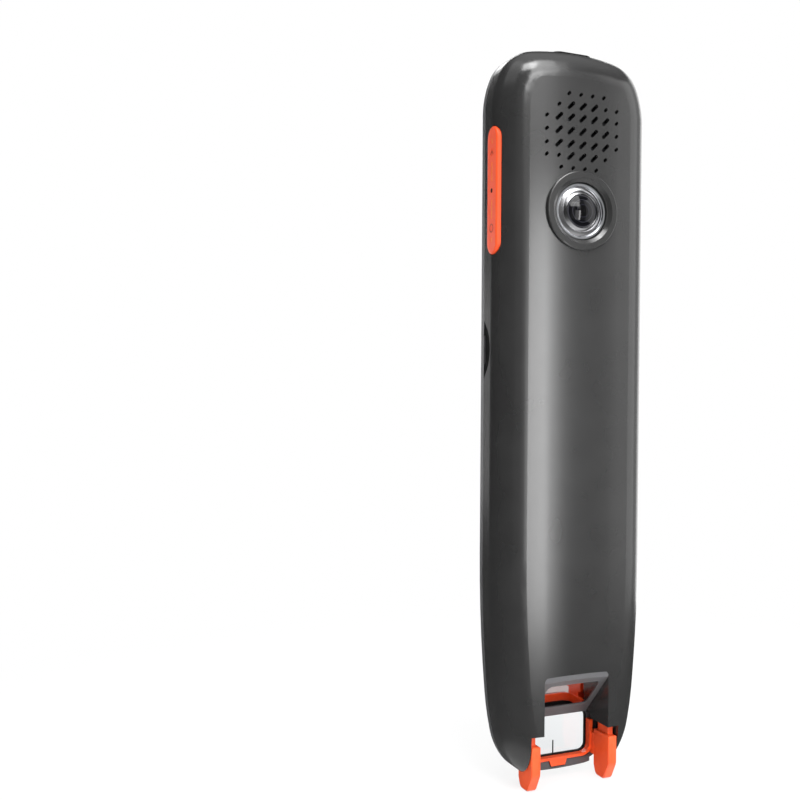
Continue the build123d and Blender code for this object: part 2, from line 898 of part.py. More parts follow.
with BuildPart() as microphone:
    with BuildSketch(facing_front(board_y)):
        with Locations((microphone_x, board_top - microphone_height)):
            RectangleRounded(microphone_width, microphone_height, 0.3)
    extrude(amount=-microphone_depth)
finish(microphone.part, "microphone")

# ---------------------------------------------------------------- rear camera

camera_axis = Axis((0, 0, camera_z), (0, 1, 0))
bezel_face_y = back_y - camera_bezel_sink
bezel_low_y = bezel_face_y - camera_bezel_depth
barrel_radius = camera_bezel_radius - camera_bezel_land - camera_fit
barrel_foot_y = bezel_face_y - barrel_sink
barrel_crest_y = bezel_face_y + barrel_rise
barrel_step_y = (barrel_foot_y + barrel_crest_y) / 2
barrel_low_y = barrel_crest_y - barrel_depth
lens_low_y = barrel_crest_y - lens_thickness
lens_dome = lens_rise + lens_sag
lens_dome_radius = (lens_radius**2 + lens_dome**2) / (2 * lens_dome)

# Polished ring, sunk below the lip
with BuildPart() as camera_bezel:
    with BuildSketch(facing_side(0)):
        with BuildLine():
            Polyline(
                (bezel_low_y, camera_z + barrel_radius + camera_fit),
                (bezel_low_y, camera_z + camera_bezel_radius),
                (bezel_face_y - 0.15, camera_z + camera_bezel_radius),
                (bezel_face_y, camera_z + camera_bezel_radius - 0.15),
                (bezel_face_y, camera_z + barrel_radius + camera_fit + 0.15),
                (bezel_face_y - 0.15, camera_z + barrel_radius + camera_fit),
                close=True,
            )
        make_face()
    revolve(axis=camera_axis)
finish(camera_bezel.part, "camera_bezel")

# Turned barrel that rises to the lens in two rounded steps
with BuildPart() as lens_barrel:
    with BuildSketch(facing_side(0)):
        with BuildLine():
            foot = (barrel_foot_y, camera_z + barrel_radius)
            step = (barrel_step_y, camera_z + barrel_step_radius)
            step_foot = (barrel_step_y - barrel_step_fall, camera_z + barrel_step_radius - 0.1)
            crest = (barrel_crest_y, camera_z + lens_radius + bond_gap + 0.15)
            RadiusArc(foot, step, barrel_radius)
            Line(step, step_foot)
            RadiusArc(step_foot, crest, barrel_radius)
            Polyline(
                crest,
                (barrel_crest_y - 0.2, camera_z + lens_radius + bond_gap),
                (lens_low_y, camera_z + lens_radius + bond_gap),
                (lens_low_y, camera_z + lens_radius - barrel_land),
                (barrel_low_y, camera_z + lens_radius - barrel_land),
                (barrel_low_y, camera_z + barrel_radius),
                foot,
            )
        make_face()
    revolve(axis=camera_axis)
finish(lens_barrel.part, "lens_barrel")

with BuildPart() as camera_lens:
    with BuildSketch(facing_side(0)):
        with BuildLine():
            lens_crest = (barrel_crest_y + lens_rise, camera_z)
            lens_edge = (barrel_crest_y - lens_sag, camera_z + lens_radius)
            Line(lens_edge, (lens_low_y, camera_z + lens_radius))
            Line((lens_low_y, camera_z + lens_radius), (lens_low_y, camera_z))
            Line((lens_low_y, camera_z), lens_crest)
            RadiusArc(lens_crest, lens_edge, -lens_dome_radius)
        make_face()
    revolve(axis=camera_axis)
finish(camera_lens.part, "camera_lens")

with BuildPart() as camera_module:
    with BuildSketch(facing_front(board_y)):
        with Locations((0, camera_z)):
            RectangleRounded(module_size, module_size, 0.6)
    extrude(amount=board_y - barrel_low_y)
finish(camera_module.part, "camera_module")

# ---------------------------------------------------------------- speaker

mesh_face_y = seat_y
gasket_face_y = mesh_face_y - mesh_thickness
speaker_face_y = gasket_face_y - gasket_thickness

with BuildPart() as speaker_mesh:
    with BuildSketch(facing_front(mesh_face_y)):
        with Locations((0, speaker_z)):
            RectangleRounded(mesh_size, mesh_size, speaker_corner)
    extrude(amount=mesh_thickness)
finish(speaker_mesh.part, "speaker_mesh")

speaker_middle = speaker_z + speaker_lift
with BuildPart() as speaker_gasket:
    with BuildSketch(facing_front(gasket_face_y)):
        with Locations((0, speaker_middle)):
            RectangleRounded(speaker_width, speaker_height, speaker_corner)
            RectangleRounded(
                speaker_width - 2 * gasket_wall,
                speaker_height - 2 * gasket_wall,
                speaker_corner - gasket_wall / 2,
                mode=Mode.SUBTRACT,
            )
    extrude(amount=gasket_thickness)
finish(speaker_gasket.part, "speaker_gasket")

with BuildPart() as speaker_driver:
    with BuildSketch(facing_front(speaker_face_y)):
        with Locations((0, speaker_middle)):
            RectangleRounded(speaker_width, speaker_height, speaker_corner)
    extrude(amount=speaker_thickness)
    with BuildSketch(facing_front(speaker_face_y)):
        with Locations((0, speaker_middle)):
            Ellipse(speaker_width / 2 - 2, speaker_height / 2 - 2)
    extrude(amount=0.4, mode=Mode.SUBTRACT)
finish(speaker_driver.part, "speaker_driver")

# ---------------------------------------------------------------- USB port

usb_mouth_z = top_z - usb_sink
with BuildPart() as usb_port:
    with BuildSketch(Plane.XY.offset(usb_mouth_z)):
        SlotOverall(usb_width, usb_height)
    extrude(amount=-usb_depth)
    with BuildSketch(Plane.XY.offset(usb_mouth_z)):
        SlotOverall(usb_width - 2 * usb_wall, usb_height - 2 * usb_wall)
    extrude(amount=-(usb_depth - 1), mode=Mode.SUBTRACT)
    with BuildSketch(Plane.XY.offset(usb_mouth_z - usb_depth + 0.5)):
        Rectangle(usb_tongue_width, usb_tongue_thickness)
    extrude(amount=usb_tongue_length + 0.5)
finish(usb_port.part, "usb_port")

# ---------------------------------------------------------------- side key

key_face_x = half_width + key_proud
key_inner_x = key_face_x - key_thickness
key_pin_x = key_inner_x - key_pin_inset
key_mark_offset = key_mark_span / 2
with BuildPart() as side_key:
    with BuildSketch(facing_side(key_inner_x)):
        with Locations((key_centre, key_z)):
            SlotOverall(key_length, key_width, rotation=90)
    extrude(amount=key_thickness)
    fillet(side_key.faces().sort_by(Axis.X)[-1].edges(), key_edge_radius)

    # Groove down the middle, broken at each mark, and the marks
    with BuildSketch(facing_side(key_face_x)):
        with Locations((key_centre, key_z)):
            Rectangle(key_groove_width, key_length - key_width)
            with Locations((0, -key_mark_offset), (0, 0), (0, key_mark_offset)):
                Rectangle(2, 4 * key_ring_radius, mode=Mode.SUBTRACT)
            with Locations((0, -key_mark_offset)):
                Circle(key_ring_radius)
                Circle(key_ring_radius - key_ring_wall, mode=Mode.SUBTRACT)
            with Locations((0, key_mark_offset - 0.6), (0, key_mark_offset), (0, key_mark_offset + 0.6)):
                Circle(key_ring_wall)
    extrude(amount=-key_groove_depth, mode=Mode.SUBTRACT)
    with BuildSketch(facing_side(key_face_x)):
        with Locations((key_centre, key_z)):
            Circle(key_dot_radius)
    extrude(amount=-key_thickness / 3, mode=Mode.SUBTRACT)

    # Lug behind it, for the pivot pin
    block(
        (key_pin_x - key_lug_size / 2, key_centre - key_lug_width / 2, key_z - key_lug_size / 2),
        (key_inner_x, key_centre + key_lug_width / 2, key_z + key_lug_size / 2),
    )
    with BuildSketch(facing_front(key_centre - key_lug_width)):
        with Locations((key_pin_x, key_z)):
            Circle(key_pin_radius + key_pin_gap)
    extrude(amount=-2 * key_lug_width, mode=Mode.SUBTRACT)
finish(side_key.part, "side_key")

key_board_face = key_board_x + key_board_thickness
bracket_base = key_board_face + bracket_thickness
ear_start = key_lug_width / 2 + bracket_ear_gap
ear_end = ear_start + bracket_ear
with BuildPart() as key_bracket:
    block(
        (key_board_face, key_centre - ear_end, key_z - bracket_height / 2),
        (bracket_base, key_centre + ear_end, key_z + bracket_height / 2),
    )
    for side in (-1, 1):
        low_y = key_centre + min(side * ear_start, side * ear_end)
        block(
            (bracket_base, low_y, key_z - key_lug_size / 2),
            (key_inner_x - key_gap, low_y + bracket_ear, key_z + key_lug_size / 2),
        )
    with BuildSketch(facing_front(key_centre - 2 * ear_end)):
        with Locations((key_pin_x, key_z)):
            Circle(key_pin_radius + 0.01)
    extrude(amount=-4 * ear_end, mode=Mode.SUBTRACT)
finish(key_bracket.part, "key_bracket")

with BuildPart() as key_pin:
    with BuildSketch(facing_front(key_centre - ear_end)):
        with Locations((key_pin_x, key_z)):
            Circle(key_pin_radius)
    extrude(amount=-2 * ear_end)
finish(key_pin.part, "key_pin")

with BuildPart() as key_board:
    block(
        (key_board_x, chassis_back_y, key_z - key_board_length / 2),
        (key_board_face, key_board_rear, key_z + key_board_length / 2),
    )
finish(key_board.part, "key_board")

with BuildPart() as key_switches:
    for side in (-1, 1):
        middle_z = key_z + side * key_mark_offset
        block(
            (key_board_face, key_centre - switch_width / 2, middle_z - switch_height / 2),
            (key_board_face + switch_depth, key_centre + switch_width / 2, middle_z + switch_height / 2),
        )
        with BuildSketch(facing_side(key_board_face + switch_depth)):
            with Locations((key_centre, middle_z)):
                Circle(switch_button_radius)
        extrude(amount=switch_button_height)
finish(key_switches.part, "key_switches")

# ---------------------------------------------------------------- card socket and its plug

with BuildPart() as card_plug:
    add(body_form.part)
    with BuildSketch(facing_side(plug_inner_x)):
        with Locations((plug_centre_y, card_z)):
            Circle(plug_radius)
        with Locations((parting_y + far / 2 + plug_gap, card_z)):
            Rectangle(far, far, mode=Mode.INTERSECT)
    extrude(amount=far, mode=Mode.INTERSECT)
    # Thumbnail groove beside the frame
    with BuildSketch(facing_front(parting_y)):
        with Locations((half_width, card_z)):
            SlotOverall(plug_length / 2, 2 * plug_notch_radius, rotation=90)
    extrude(amount=-plug_notch_radius * 2, mode=Mode.SUBTRACT)
    # Stalk that plugs into the socket's mouth
    stalk_y = (socket_front_y + socket_back_y - plug_stalk_thickness) / 2
    block(
        (stalk_end_x, stalk_y, card_z - plug_length / 4),
        (plug_inner_x + 0.3, stalk_y + plug_stalk_thickness, card_z + plug_length / 4),
    )
finish(card_plug.part, "card_plug")

with BuildPart() as card_socket:
    block(
        (socket_mouth_x - socket_width, socket_front_y, card_z - socket_length / 2),
        (socket_mouth_x, socket_back_y, card_z + socket_length / 2),
    )
    block(
        (socket_mouth_x - socket_width + 1, socket_front_y + socket_wall, card_z - socket_length / 2 + 0.5),
        (socket_mouth_x + 1, socket_back_y - socket_wall, card_z + socket_length / 2 - 0.5),
        mode=Mode.SUBTRACT,
    )
finish(card_socket.part, "card_socket")

# ---------------------------------------------------------------- scan trigger

# U-shaped bezel around the scan window, with a latch and the rails that carry the feet
bezel_front = parting_y + bezel_front_gap
bezel_bottom = window_bottom - bezel_lip
with BuildPart() as trigger_frame:
    with BuildSketch(facing_front(bezel_front)):
        with Locations((0, bezel_bottom + far / 2)):
            RectangleRounded(window_width + 2 * bezel_wall, far, window_corner + bezel_wall)
        with Locations((0, window_bottom + far / 2)):
            RectangleRounded(window_width, far, window_corner, mode=Mode.SUBTRACT)
        with Locations((0, bezel_top - far / 2)):
            Rectangle(far, far, mode=Mode.INTERSECT)
    extrude(amount=bezel_front - bezel_back)
    with BuildSketch(facing_front(bar_back - latch_sink)):
        with BuildLine():
            Polyline(
                (-latch_width / 2, bezel_bottom + bezel_lip / 2),
                (-latch_width / 2, bezel_bottom),
                (-latch_bottom_width / 2, bezel_bottom - latch_drop),
                (latch_bottom_width / 2, bezel_bottom - latch_drop),
                (latch_width / 2, bezel_bottom),
                (latch_width / 2, bezel_bottom + bezel_lip / 2),
                close=True,
            )
        make_face()
    extrude(amount=-latch_thickness)
    for side in (-1, 1):
        rail_x = (side * (half_window + bezel_wall / 2), side * foot_outer)
        block(
            (min(rail_x), bezel_front, foot_shoulder - rail_drop - rail_height),
            (max(rail_x), foot_front, foot_shoulder - rail_drop),
        )
finish(trigger_frame.part, "trigger_frame")


def make_foot(side, name):
    """One runner-shaped foot with the stem that slides in its leg."""
    with BuildPart() as foot:
        with BuildSketch(facing_side(side * foot_centre)) as runner:
            with BuildLine():
                Polyline(
                    (foot_front, foot_shoulder),
                    (foot_rear, foot_shoulder),
                    (foot_rear, foot_bend),
                    (foot_tip_rear, 0),
                    (foot_tip_front, 0),
                    (foot_front, foot_tip_rise),
                    close=True,
                )
            make_face()
            fillet(runner.vertices().group_by(Axis.Y)[0], foot_tip_radius)
            fillet(runner.vertices().group_by(Axis.X)[-1].sort_by(Axis.Y)[0], foot_bend_radius)
        extrude(amount=foot_thickness / 2, both=True)
        rear_edges = foot.edges().filter_by(Axis.X, reverse=True)
        fillet(rear_edges.filter_by(lambda edge: edge.center().Y > foot_front + 0.01), foot_edge_radius)
        stem_low = min(side * (stem_offset - stem_thickness / 2), side * (stem_offset + stem_thickness / 2))
        block(
            (stem_low, stem_front, foot_shoulder - 1),
            (stem_low + stem_thickness, stem_rear, stem_top),
        )
    finish(foot.part, name)


make_foot(1, "left_foot")
make_foot(-1, "right_foot")

with BuildPart() as trigger_springs:
    for side in (-1, 1):
        coil = Helix(
            pitch=spring_pitch,
            height=spring_top - stem_top - 2 * spring_wire,
            radius=spring_radius - spring_wire,
            center=(side * stem_offset, spring_depth, stem_top + spring_wire),
            mode=Mode.PRIVATE,
        )
        with BuildSketch(Plane(origin=coil @ 0, z_dir=coil % 0)):
            Circle(spring_wire)
        sweep(path=coil)
finish(trigger_springs.part, "trigger_springs")

with BuildPart() as trigger_switch:
    plunger_low = stem_top + trigger_travel + trigger_gap
    switch_low = plunger_low + plunger_reach
    switch_middle_x = -stem_offset - plunger_width / 2
    plunger_middle_y = board_y + plunger_width + plunger_width / 4
    block(
        (switch_middle_x - trigger_switch_width / 2, board_y, switch_low),
        (
            switch_middle_x + trigger_switch_width / 2,
            board_y + trigger_switch_depth,
            switch_low + trigger_switch_width,
        ),
    )
    block(
        (-stem_offset - plunger_width / 2, plunger_middle_y - plunger_width / 2, plunger_low),
        (-stem_offset + plunger_width / 2, plunger_middle_y + plunger_width / 2, switch_low + bond_gap),
    )
finish(trigger_switch.part, "trigger_switch")

# ---------------------------------------------------------------- scanner window in the slanted roof

frame_low_y = parting_y + bezel_front_gap
frame_high_y = back_y - bond_gap
with BuildPart() as scanner_frame:
    with BuildSketch(facing_side(0)):
        with BuildLine():
            Polyline(
                (frame_low_y, frame_low_y + slant_rise),
                (frame_high_y, frame_high_y + slant_rise),
                (frame_high_y, frame_high_y + slant_rise + frame_rise),
                (frame_low_y, frame_low_y + slant_rise + frame_rise),
                close=True,
            )
        make_face()
    extrude(amount=half_notch - bond_gap, both=True)
    add(notch_corners.part, mode=Mode.SUBTRACT)
    add(body_form.part, mode=Mode.INTERSECT)
    with BuildSketch(roof_plane):
        RectangleRounded(
            scanner_glass_width + 2 * bond_gap,
            roof_length + 2 * bond_gap,
            scanner_corner + bond_gap,
        )
    extrude(amount=frame_rise, both=True, mode=Mode.SUBTRACT)
finish(scanner_frame.part, "scanner_frame")

with BuildPart() as scanner_glass:
    with BuildSketch(roof_plane.offset(scanner_glass_recess)):
        RectangleRounded(scanner_glass_width, roof_length, scanner_corner)
    extrude(amount=scanner_frame_thickness - scanner_glass_recess)
finish(scanner_glass.part, "scanner_glass")

# ---------------------------------------------------------------- scanning camera and its light

with BuildPart() as scan_camera:
    block(
        (-scan_camera_size / 2, board_y, scan_camera_bottom),
        (scan_camera_size / 2, board_y + scan_camera_depth, scan_camera_bottom + scan_camera_size),
    )
    with BuildSketch(Plane.XY.offset(scan_camera_bottom)):
        with Locations((0, board_y + scan_camera_depth / 2)):
            Circle(scan_lens_radius)
    extrude(amount=-scan_lens_length)
finish(scan_camera.part, "scan_camera")

light_shift = roof_length / 2 + light_bar_width / 2 - 0.6
light_plane = roof_plane.offset(scanner_frame_thickness + roof_wall)
with BuildPart() as scan_light:
    with BuildSketch(light_plane):
        with Locations((0, light_shift)):
            Rectangle(light_bar_length, light_bar_width)
    extrude(amount=light_bar_thickness)
    with BuildSketch(light_plane.offset(light_bar_thickness)):
        with Locations((0, light_shift)):
            with GridLocations(light_pitch, 1, 3, 1):
                Rectangle(light_size, light_size)
    extrude(amount=light_thickness)
finish(scan_light.part, "scan_light")
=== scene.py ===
import math

import bmesh
import bpy
from mathutils import Matrix, Vector


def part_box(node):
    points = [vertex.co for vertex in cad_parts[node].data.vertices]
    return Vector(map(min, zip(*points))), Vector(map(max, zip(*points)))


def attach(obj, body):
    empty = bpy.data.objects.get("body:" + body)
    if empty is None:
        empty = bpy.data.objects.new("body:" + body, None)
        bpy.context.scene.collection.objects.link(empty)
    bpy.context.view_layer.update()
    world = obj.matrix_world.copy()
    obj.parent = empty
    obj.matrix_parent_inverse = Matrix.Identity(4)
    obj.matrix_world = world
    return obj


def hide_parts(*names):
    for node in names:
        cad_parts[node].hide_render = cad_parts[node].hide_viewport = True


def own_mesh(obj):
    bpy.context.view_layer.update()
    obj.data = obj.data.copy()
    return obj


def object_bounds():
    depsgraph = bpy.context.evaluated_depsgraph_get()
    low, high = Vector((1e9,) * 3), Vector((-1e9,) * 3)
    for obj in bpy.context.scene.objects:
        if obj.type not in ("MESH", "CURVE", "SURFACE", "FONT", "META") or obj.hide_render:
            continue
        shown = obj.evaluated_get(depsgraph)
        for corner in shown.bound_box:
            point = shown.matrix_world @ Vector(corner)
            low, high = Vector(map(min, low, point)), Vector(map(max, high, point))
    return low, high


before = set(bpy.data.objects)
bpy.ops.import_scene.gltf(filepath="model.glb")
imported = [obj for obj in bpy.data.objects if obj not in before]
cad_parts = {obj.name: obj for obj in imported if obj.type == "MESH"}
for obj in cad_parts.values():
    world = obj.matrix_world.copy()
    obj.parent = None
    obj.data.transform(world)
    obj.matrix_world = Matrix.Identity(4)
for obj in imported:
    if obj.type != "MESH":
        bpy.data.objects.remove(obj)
cad_low, cad_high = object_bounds()
MM = 0.001
# Points nearer to each other than this, in metres, are one point.
TINY = 1e-7
# A wave texture's sine runs through 20 radians in one unit, so its waves are 2 pi / 20 of a unit apart.
WAVE_RADIANS = 20

# ------------------------------------------------------------------ camera

# The pen is seen from behind and a little from the key's side, from about 250 mm away.
camera_azimuth = math.radians(152.61)
camera_height = math.radians(1.58)
camera_roll = math.radians(0.52)
camera_aim = Vector((0, 0, 82 * MM))
camera_distance = 252.08
camera_away = Vector((
    math.sin(camera_azimuth) * math.cos(camera_height),
    -math.cos(camera_azimuth) * math.cos(camera_height),
    math.sin(camera_height),
))
camera_data = bpy.data.cameras.new("pen_camera")
camera = bpy.data.objects.new("pen_camera", camera_data)
bpy.context.scene.collection.objects.link(camera)
bpy.context.scene.camera = camera
camera_data.sensor_width = 36.0
camera_data.lens = 50.24
camera_data.shift_x = -0.2084
camera_data.shift_y = 0.0257
camera_data.clip_start, camera_data.clip_end = 0.01, 20.0
level_turn = (-camera_away).to_track_quat("-Z", "Y").to_matrix().to_4x4()
camera.matrix_world = (
    Matrix.Translation(camera_aim + camera_away * camera_distance * MM)
    @ level_turn
    @ Matrix.Rotation(camera_roll, 4, "Z")
)

# ------------------------------------------------------------------ small tools


def shade(code):
    """A colour written as sRGB hex, turned to linear."""
    parts = [int(code[i:i + 2], 16) / 255 for i in (0, 2, 4)]
    return tuple(p / 12.92 if p <= 0.04045 else ((p + 0.055) / 1.055) ** 2.4 for p in parts) + (1.0,)


def add_node(tree, kind, inputs=None, **settings):
    """One node with its settings. An input is given a value, or another node's socket to link."""
    made = tree.nodes.new(kind)
    for name, value in settings.items():
        setattr(made, name, value)
    for key, value in (inputs or {}).items():
        if isinstance(value, bpy.types.NodeSocket):
            tree.links.new(value, made.inputs[key])
        else:
            made.inputs[key].default_value = value
    return made


def new_finish(name, base, roughness, metallic=0.0, **sockets):
    """A material with one Principled shader, its node tree, and the place on the piece in metres."""
    material = bpy.data.materials.new(name)
    material.use_nodes = True
    tree = material.node_tree
    surface = tree.nodes["Principled BSDF"]
    surface.inputs["Base Color"].default_value = shade(base)
    surface.inputs["Roughness"].default_value = roughness
    surface.inputs["Metallic"].default_value = metallic
    for socket, value in sockets.items():
        surface.inputs[socket.replace("_", " ")].default_value = value
    place = add_node(tree, "ShaderNodeTexCoord").outputs["Object"]
    return material, tree, surface, place


def dress(material, *nodes):
    """Gives CAD nodes their material."""
    for name in nodes:
        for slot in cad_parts[name].material_slots:
            slot.material = material


def set_stops(ramp, stops):
    """Colour stops along a ramp: each a place and a hex colour."""
    elements = ramp.color_ramp.elements
    while len(elements) < len(stops):
        elements.new(1.0)
    for element, (position, code) in zip(elements, stops):
        element.position = position
        element.color = shade(code)


def start_piece(add, size, turn=(0, 0, 0)):
    """A new plane or cube of this size, turned about the origin, in edit mode with all of it selected."""
    bpy.ops.object.select_all(action="DESELECT")
    add(size=1)
    piece = bpy.context.object
    piece.scale = size
    piece.rotation_euler = turn
    bpy.ops.object.transform_apply(location=False, rotation=True, scale=True)
    bpy.ops.object.mode_set(mode="EDIT")
    bpy.ops.mesh.select_all(action="SELECT")
    return piece


def face_outwards():
    """Turns the faces of the piece in edit mode outwards."""
    bpy.ops.mesh.select_all(action="SELECT")
    bpy.ops.mesh.normals_make_consistent(inside=False)


def end_piece(piece, name, place, material):
    """Leaves edit mode, fixes the piece's place in its mesh, names it and gives it its material."""
    bpy.ops.object.mode_set(mode="OBJECT")
    piece.location = place
    bpy.ops.object.transform_apply(location=True, rotation=False, scale=False)
    piece.name = name
    piece.data.materials.append(material)


# ------------------------------------------------------------------ floor, backdrop and lights

bpy.context.scene.view_settings.view_transform = "Standard"

world = bpy.data.worlds.new("studio")
bpy.context.scene.world = world
world.use_nodes = True
tree = world.node_tree
tree.nodes.clear()
rays = add_node(tree, "ShaderNodeLightPath")
direction = add_node(tree, "ShaderNodeTexCoord").outputs["Generated"]
rise = add_node(tree, "ShaderNodeSeparateXYZ", {"Vector": direction}).outputs["Z"]
# What gloss sees: a dim room with a pale ceiling and a pale table
room = add_node(tree, "ShaderNodeValToRGB", {"Fac": add_node(tree, "ShaderNodeMapRange", {
    "Value": rise, "From Min": -1.0, "From Max": 1.0,
}).outputs["Result"]})
set_stops(room, (
    (0.0, "f4f4f4"), (0.08, "e8e8e8"), (0.16, "c8c8c8"), (0.24, "606060"), (0.36, "404040"), (0.48, "1c1c1c"),
    (0.62, "1c1c1c"), (0.85, "585858"), (1.0, "e8e8e8"),
))
unlit = add_node(tree, "ShaderNodeMix", {
    "Factor": rays.outputs["Is Glossy Ray"], 6: shade("c8c8c8"), 7: room.outputs["Color"],
}, data_type="RGBA").outputs[2]
# Clear pieces show the white backdrop, but light that has bounced inside them doesn't.
bounced = add_node(tree, "ShaderNodeMath", {
    0: rays.outputs["Diffuse Depth"], 1: rays.outputs["Glossy Depth"],
}, operation="ADD").outputs[0]
straight = add_node(tree, "ShaderNodeMath", {
    0: rays.outputs["Is Transmission Ray"], 1: bounced,
}, operation="SUBTRACT", use_clamp=True).outputs[0]
seen = add_node(tree, "ShaderNodeMath", {
    0: rays.outputs["Is Camera Ray"], 1: straight,
}, operation="MAXIMUM").outputs[0]
colour = add_node(tree, "ShaderNodeMix", {
    "Factor": seen, 6: unlit, 7: shade("ffffff"),
}, data_type="RGBA").outputs[2]
backdrop = add_node(tree, "ShaderNodeBackground", {"Color": colour, "Strength": 1.0})
add_node(tree, "ShaderNodeOutputWorld", {"Surface": backdrop.outputs[0]})

floor_radius, shade_end, white_start = 0.4, 0.02, 0.2
bpy.ops.object.select_all(action="DESELECT")
bpy.ops.mesh.primitive_circle_add(vertices=96, radius=floor_radius, fill_type="NGON", location=(0, 0, 0))
floor = bpy.context.object
floor.name = "paper_floor"
floor.visible_glossy = False
# White paper sweep: it takes the pen's shadow close by and is plain white further off.
paper, tree, surface, place = new_finish("white_paper_sweep", "f2f2f2", 0.9, Specular_IOR_Level=0.0)
rays = add_node(tree, "ShaderNodeLightPath")
seen = add_node(tree, "ShaderNodeMath", {
    0: rays.outputs["Is Camera Ray"], 1: rays.outputs["Is Glossy Ray"],
}, operation="MAXIMUM").outputs[0]
seen = add_node(tree, "ShaderNodeMath", {
    0: seen, 1: rays.outputs["Is Transmission Ray"],
}, operation="MAXIMUM").outputs[0]
reach = add_node(tree, "ShaderNodeVectorMath", {0: place}, operation="LENGTH").outputs["Value"]
fade = add_node(tree, "ShaderNodeMapRange", {
    "Value": reach, "From Min": shade_end, "From Max": white_start, "To Min": 0.8, "To Max": 1.0,
}, interpolation_type="SMOOTHSTEP").outputs["Result"]
fade = add_node(tree, "ShaderNodeMath", {0: fade, 1: seen}, operation="MULTIPLY").outputs[0]
glow = add_node(tree, "ShaderNodeEmission", {"Color": shade("ffffff"), "Strength": 1.0})
blend = add_node(tree, "ShaderNodeMixShader", {
    "Fac": fade, 1: surface.outputs[0], 2: glow.outputs[0],
})
# A ray that has bounced inside a clear piece passes through, so the glass has no pale veil low down.
bounces = add_node(tree, "ShaderNodeMath", {
    0: rays.outputs["Diffuse Depth"], 1: rays.outputs["Glossy Depth"],
}, operation="ADD").outputs[0]
inner = add_node(tree, "ShaderNodeMath", {
    0: bounces, 1: rays.outputs["Is Transmission Ray"],
}, operation="MULTIPLY", use_clamp=True).outputs[0]
blend = add_node(tree, "ShaderNodeMixShader", {
    "Fac": inner, 1: blend.outputs[0], 2: add_node(tree, "ShaderNodeBsdfTransparent").outputs[0],
})
tree.links.new(blend.outputs[0], tree.nodes["Material Output"].inputs["Surface"])
floor.data.materials.append(paper)


# Watts on each square metre of a light's face at level 1
level_watts = 4


def softbox(name, place, aim, width, length, level, turn=0.0):
    """A flat studio light, level being how bright its face is, in metres and degrees."""
    data = bpy.data.lights.new(name, "AREA")
    data.shape = "RECTANGLE"
    data.size, data.size_y = width, length
    data.energy = level_watts * level * width * length
    lamp = bpy.data.objects.new(name, data)
    bpy.context.scene.collection.objects.link(lamp)
    away = Vector(place) - Vector(aim)
    lamp.matrix_world = (
        Matrix.Translation(place)
        @ away.to_track_quat("Z", "Y").to_matrix().to_4x4()
        @ Matrix.Rotation(math.radians(turn), 4, "Z")
    )
    lamp.visible_camera = False


def around(angle, distance, height):
    """A place round the pen: the angle goes from the key's side towards the back."""
    turn = math.radians(angle)
    return (distance * math.cos(turn), distance * math.sin(turn), height)


# A curved wall of soft light behind the pen: dim upright panels, and in the gap between them three shorter
# strips, the last one bright. Each has its first and last angle and its level.
wall_distance = 0.8
for row, height, length, panels in (
    ("wall_panel", 0.31, 0.86, (
        (50, 78, 0.1), (78, 91, 0.35), (108, 128, 0.2), (128, 138, 0.8), (138, 170, 1.2), (170, 195, 0.5),
        (195, 235, 1.6),
    )),
    ("back_strip", 0.06, 0.4, ((91, 97, 1.8), (97, 103, 1.8), (103, 108, 10.0))),
):
    for number, (start, end, level) in enumerate(panels):
        width = 2 * wall_distance * math.tan(math.radians(end - start) / 2)
        place = around((start + end) / 2, wall_distance, height)
        softbox(f"{row}_{number}", place, (0, 0, height), width, length, level)
softbox("upper_back_softbox", around(103, wall_distance, 0.47), (0, 0, 0.47), 0.16, 0.3, 1.3)

# Boxes above and beside the pen, for the crown, the key and the key's edge
middle = (0, 0, 0.085)
softbox("crown_softbox", around(96, 0.5, 0.8), middle, 0.4, 0.66, 3.8)
softbox("low_crown_softbox", around(91, 0.7, 0.495), middle, 0.4, 0.18, 4.8)
softbox("key_edge_softbox", around(-74, 0.62, 0.08), (0, 0, 0.08), 0.12, 0.16, 1.5)
softbox("crown_key_side_softbox", around(66, 0.42, 0.85), middle, 0.42, 0.3, 6.5)
softbox("key_softbox", around(5, 0.5, 0.85), middle, 0.7, 0.6, 0.5)

# Leaning strips in front, for the bands of reflection across the glass: height, width and level
front_distance, front_length, front_lean = 0.62, 0.6, 35
for number, (height, width, level) in enumerate((
    (0.375, 0.095, 3.2), (0.225, 0.055, 2.6), (0.13, 0.03, 1.4),
)):
    place = (0, -front_distance, height)
    softbox(f"front_strip_{number}", place, (0, 0, height), width, front_length, level, turn=front_lean)

# ------------------------------------------------------------------ finishes of the housing

# ABS moulded against a fine spark-eroded tool: dark grey with a dry, faintly grainy sheen.
# The real grain is about 0.08 mm; it is drawn at 0.25 mm so that it shows.
shell_abs, tree, surface, place = new_finish("shell_moulded_abs", "2a2a2a", 0.2, Specular_IOR_Level=0.75)
grain = add_node(tree, "ShaderNodeTexNoise", {
    "Vector": place, "Scale": 1 / (0.25 * MM), "Detail": 3.0, "Roughness": 0.6,
})
clouds = add_node(tree, "ShaderNodeTexNoise", {"Vector": place, "Scale": 1 / (9 * MM), "Detail": 2.0})
tones = add_node(tree, "ShaderNodeValToRGB", {"Fac": clouds.outputs["Fac"]})
set_stops(tones, ((0.3, "282828"), (0.7, "2c2c2c")))
tree.links.new(tones.outputs["Color"], surface.inputs["Base Color"])
sheen = add_node(tree, "ShaderNodeMapRange", {
    "Value": grain.outputs["Fac"], "From Min": 0.3, "From Max": 0.7, "To Min": 0.19, "To Max": 0.22,
}).outputs["Result"]
tree.links.new(sheen, surface.inputs["Roughness"])
relief = add_node(tree, "ShaderNodeBump", {
    "Height": grain.outputs["Fac"], "Strength": 0.08, "Distance": 0.01 * MM,
})
tree.links.new(relief.outputs["Normal"], surface.inputs["Normal"])
dress(shell_abs, "rear_shell")

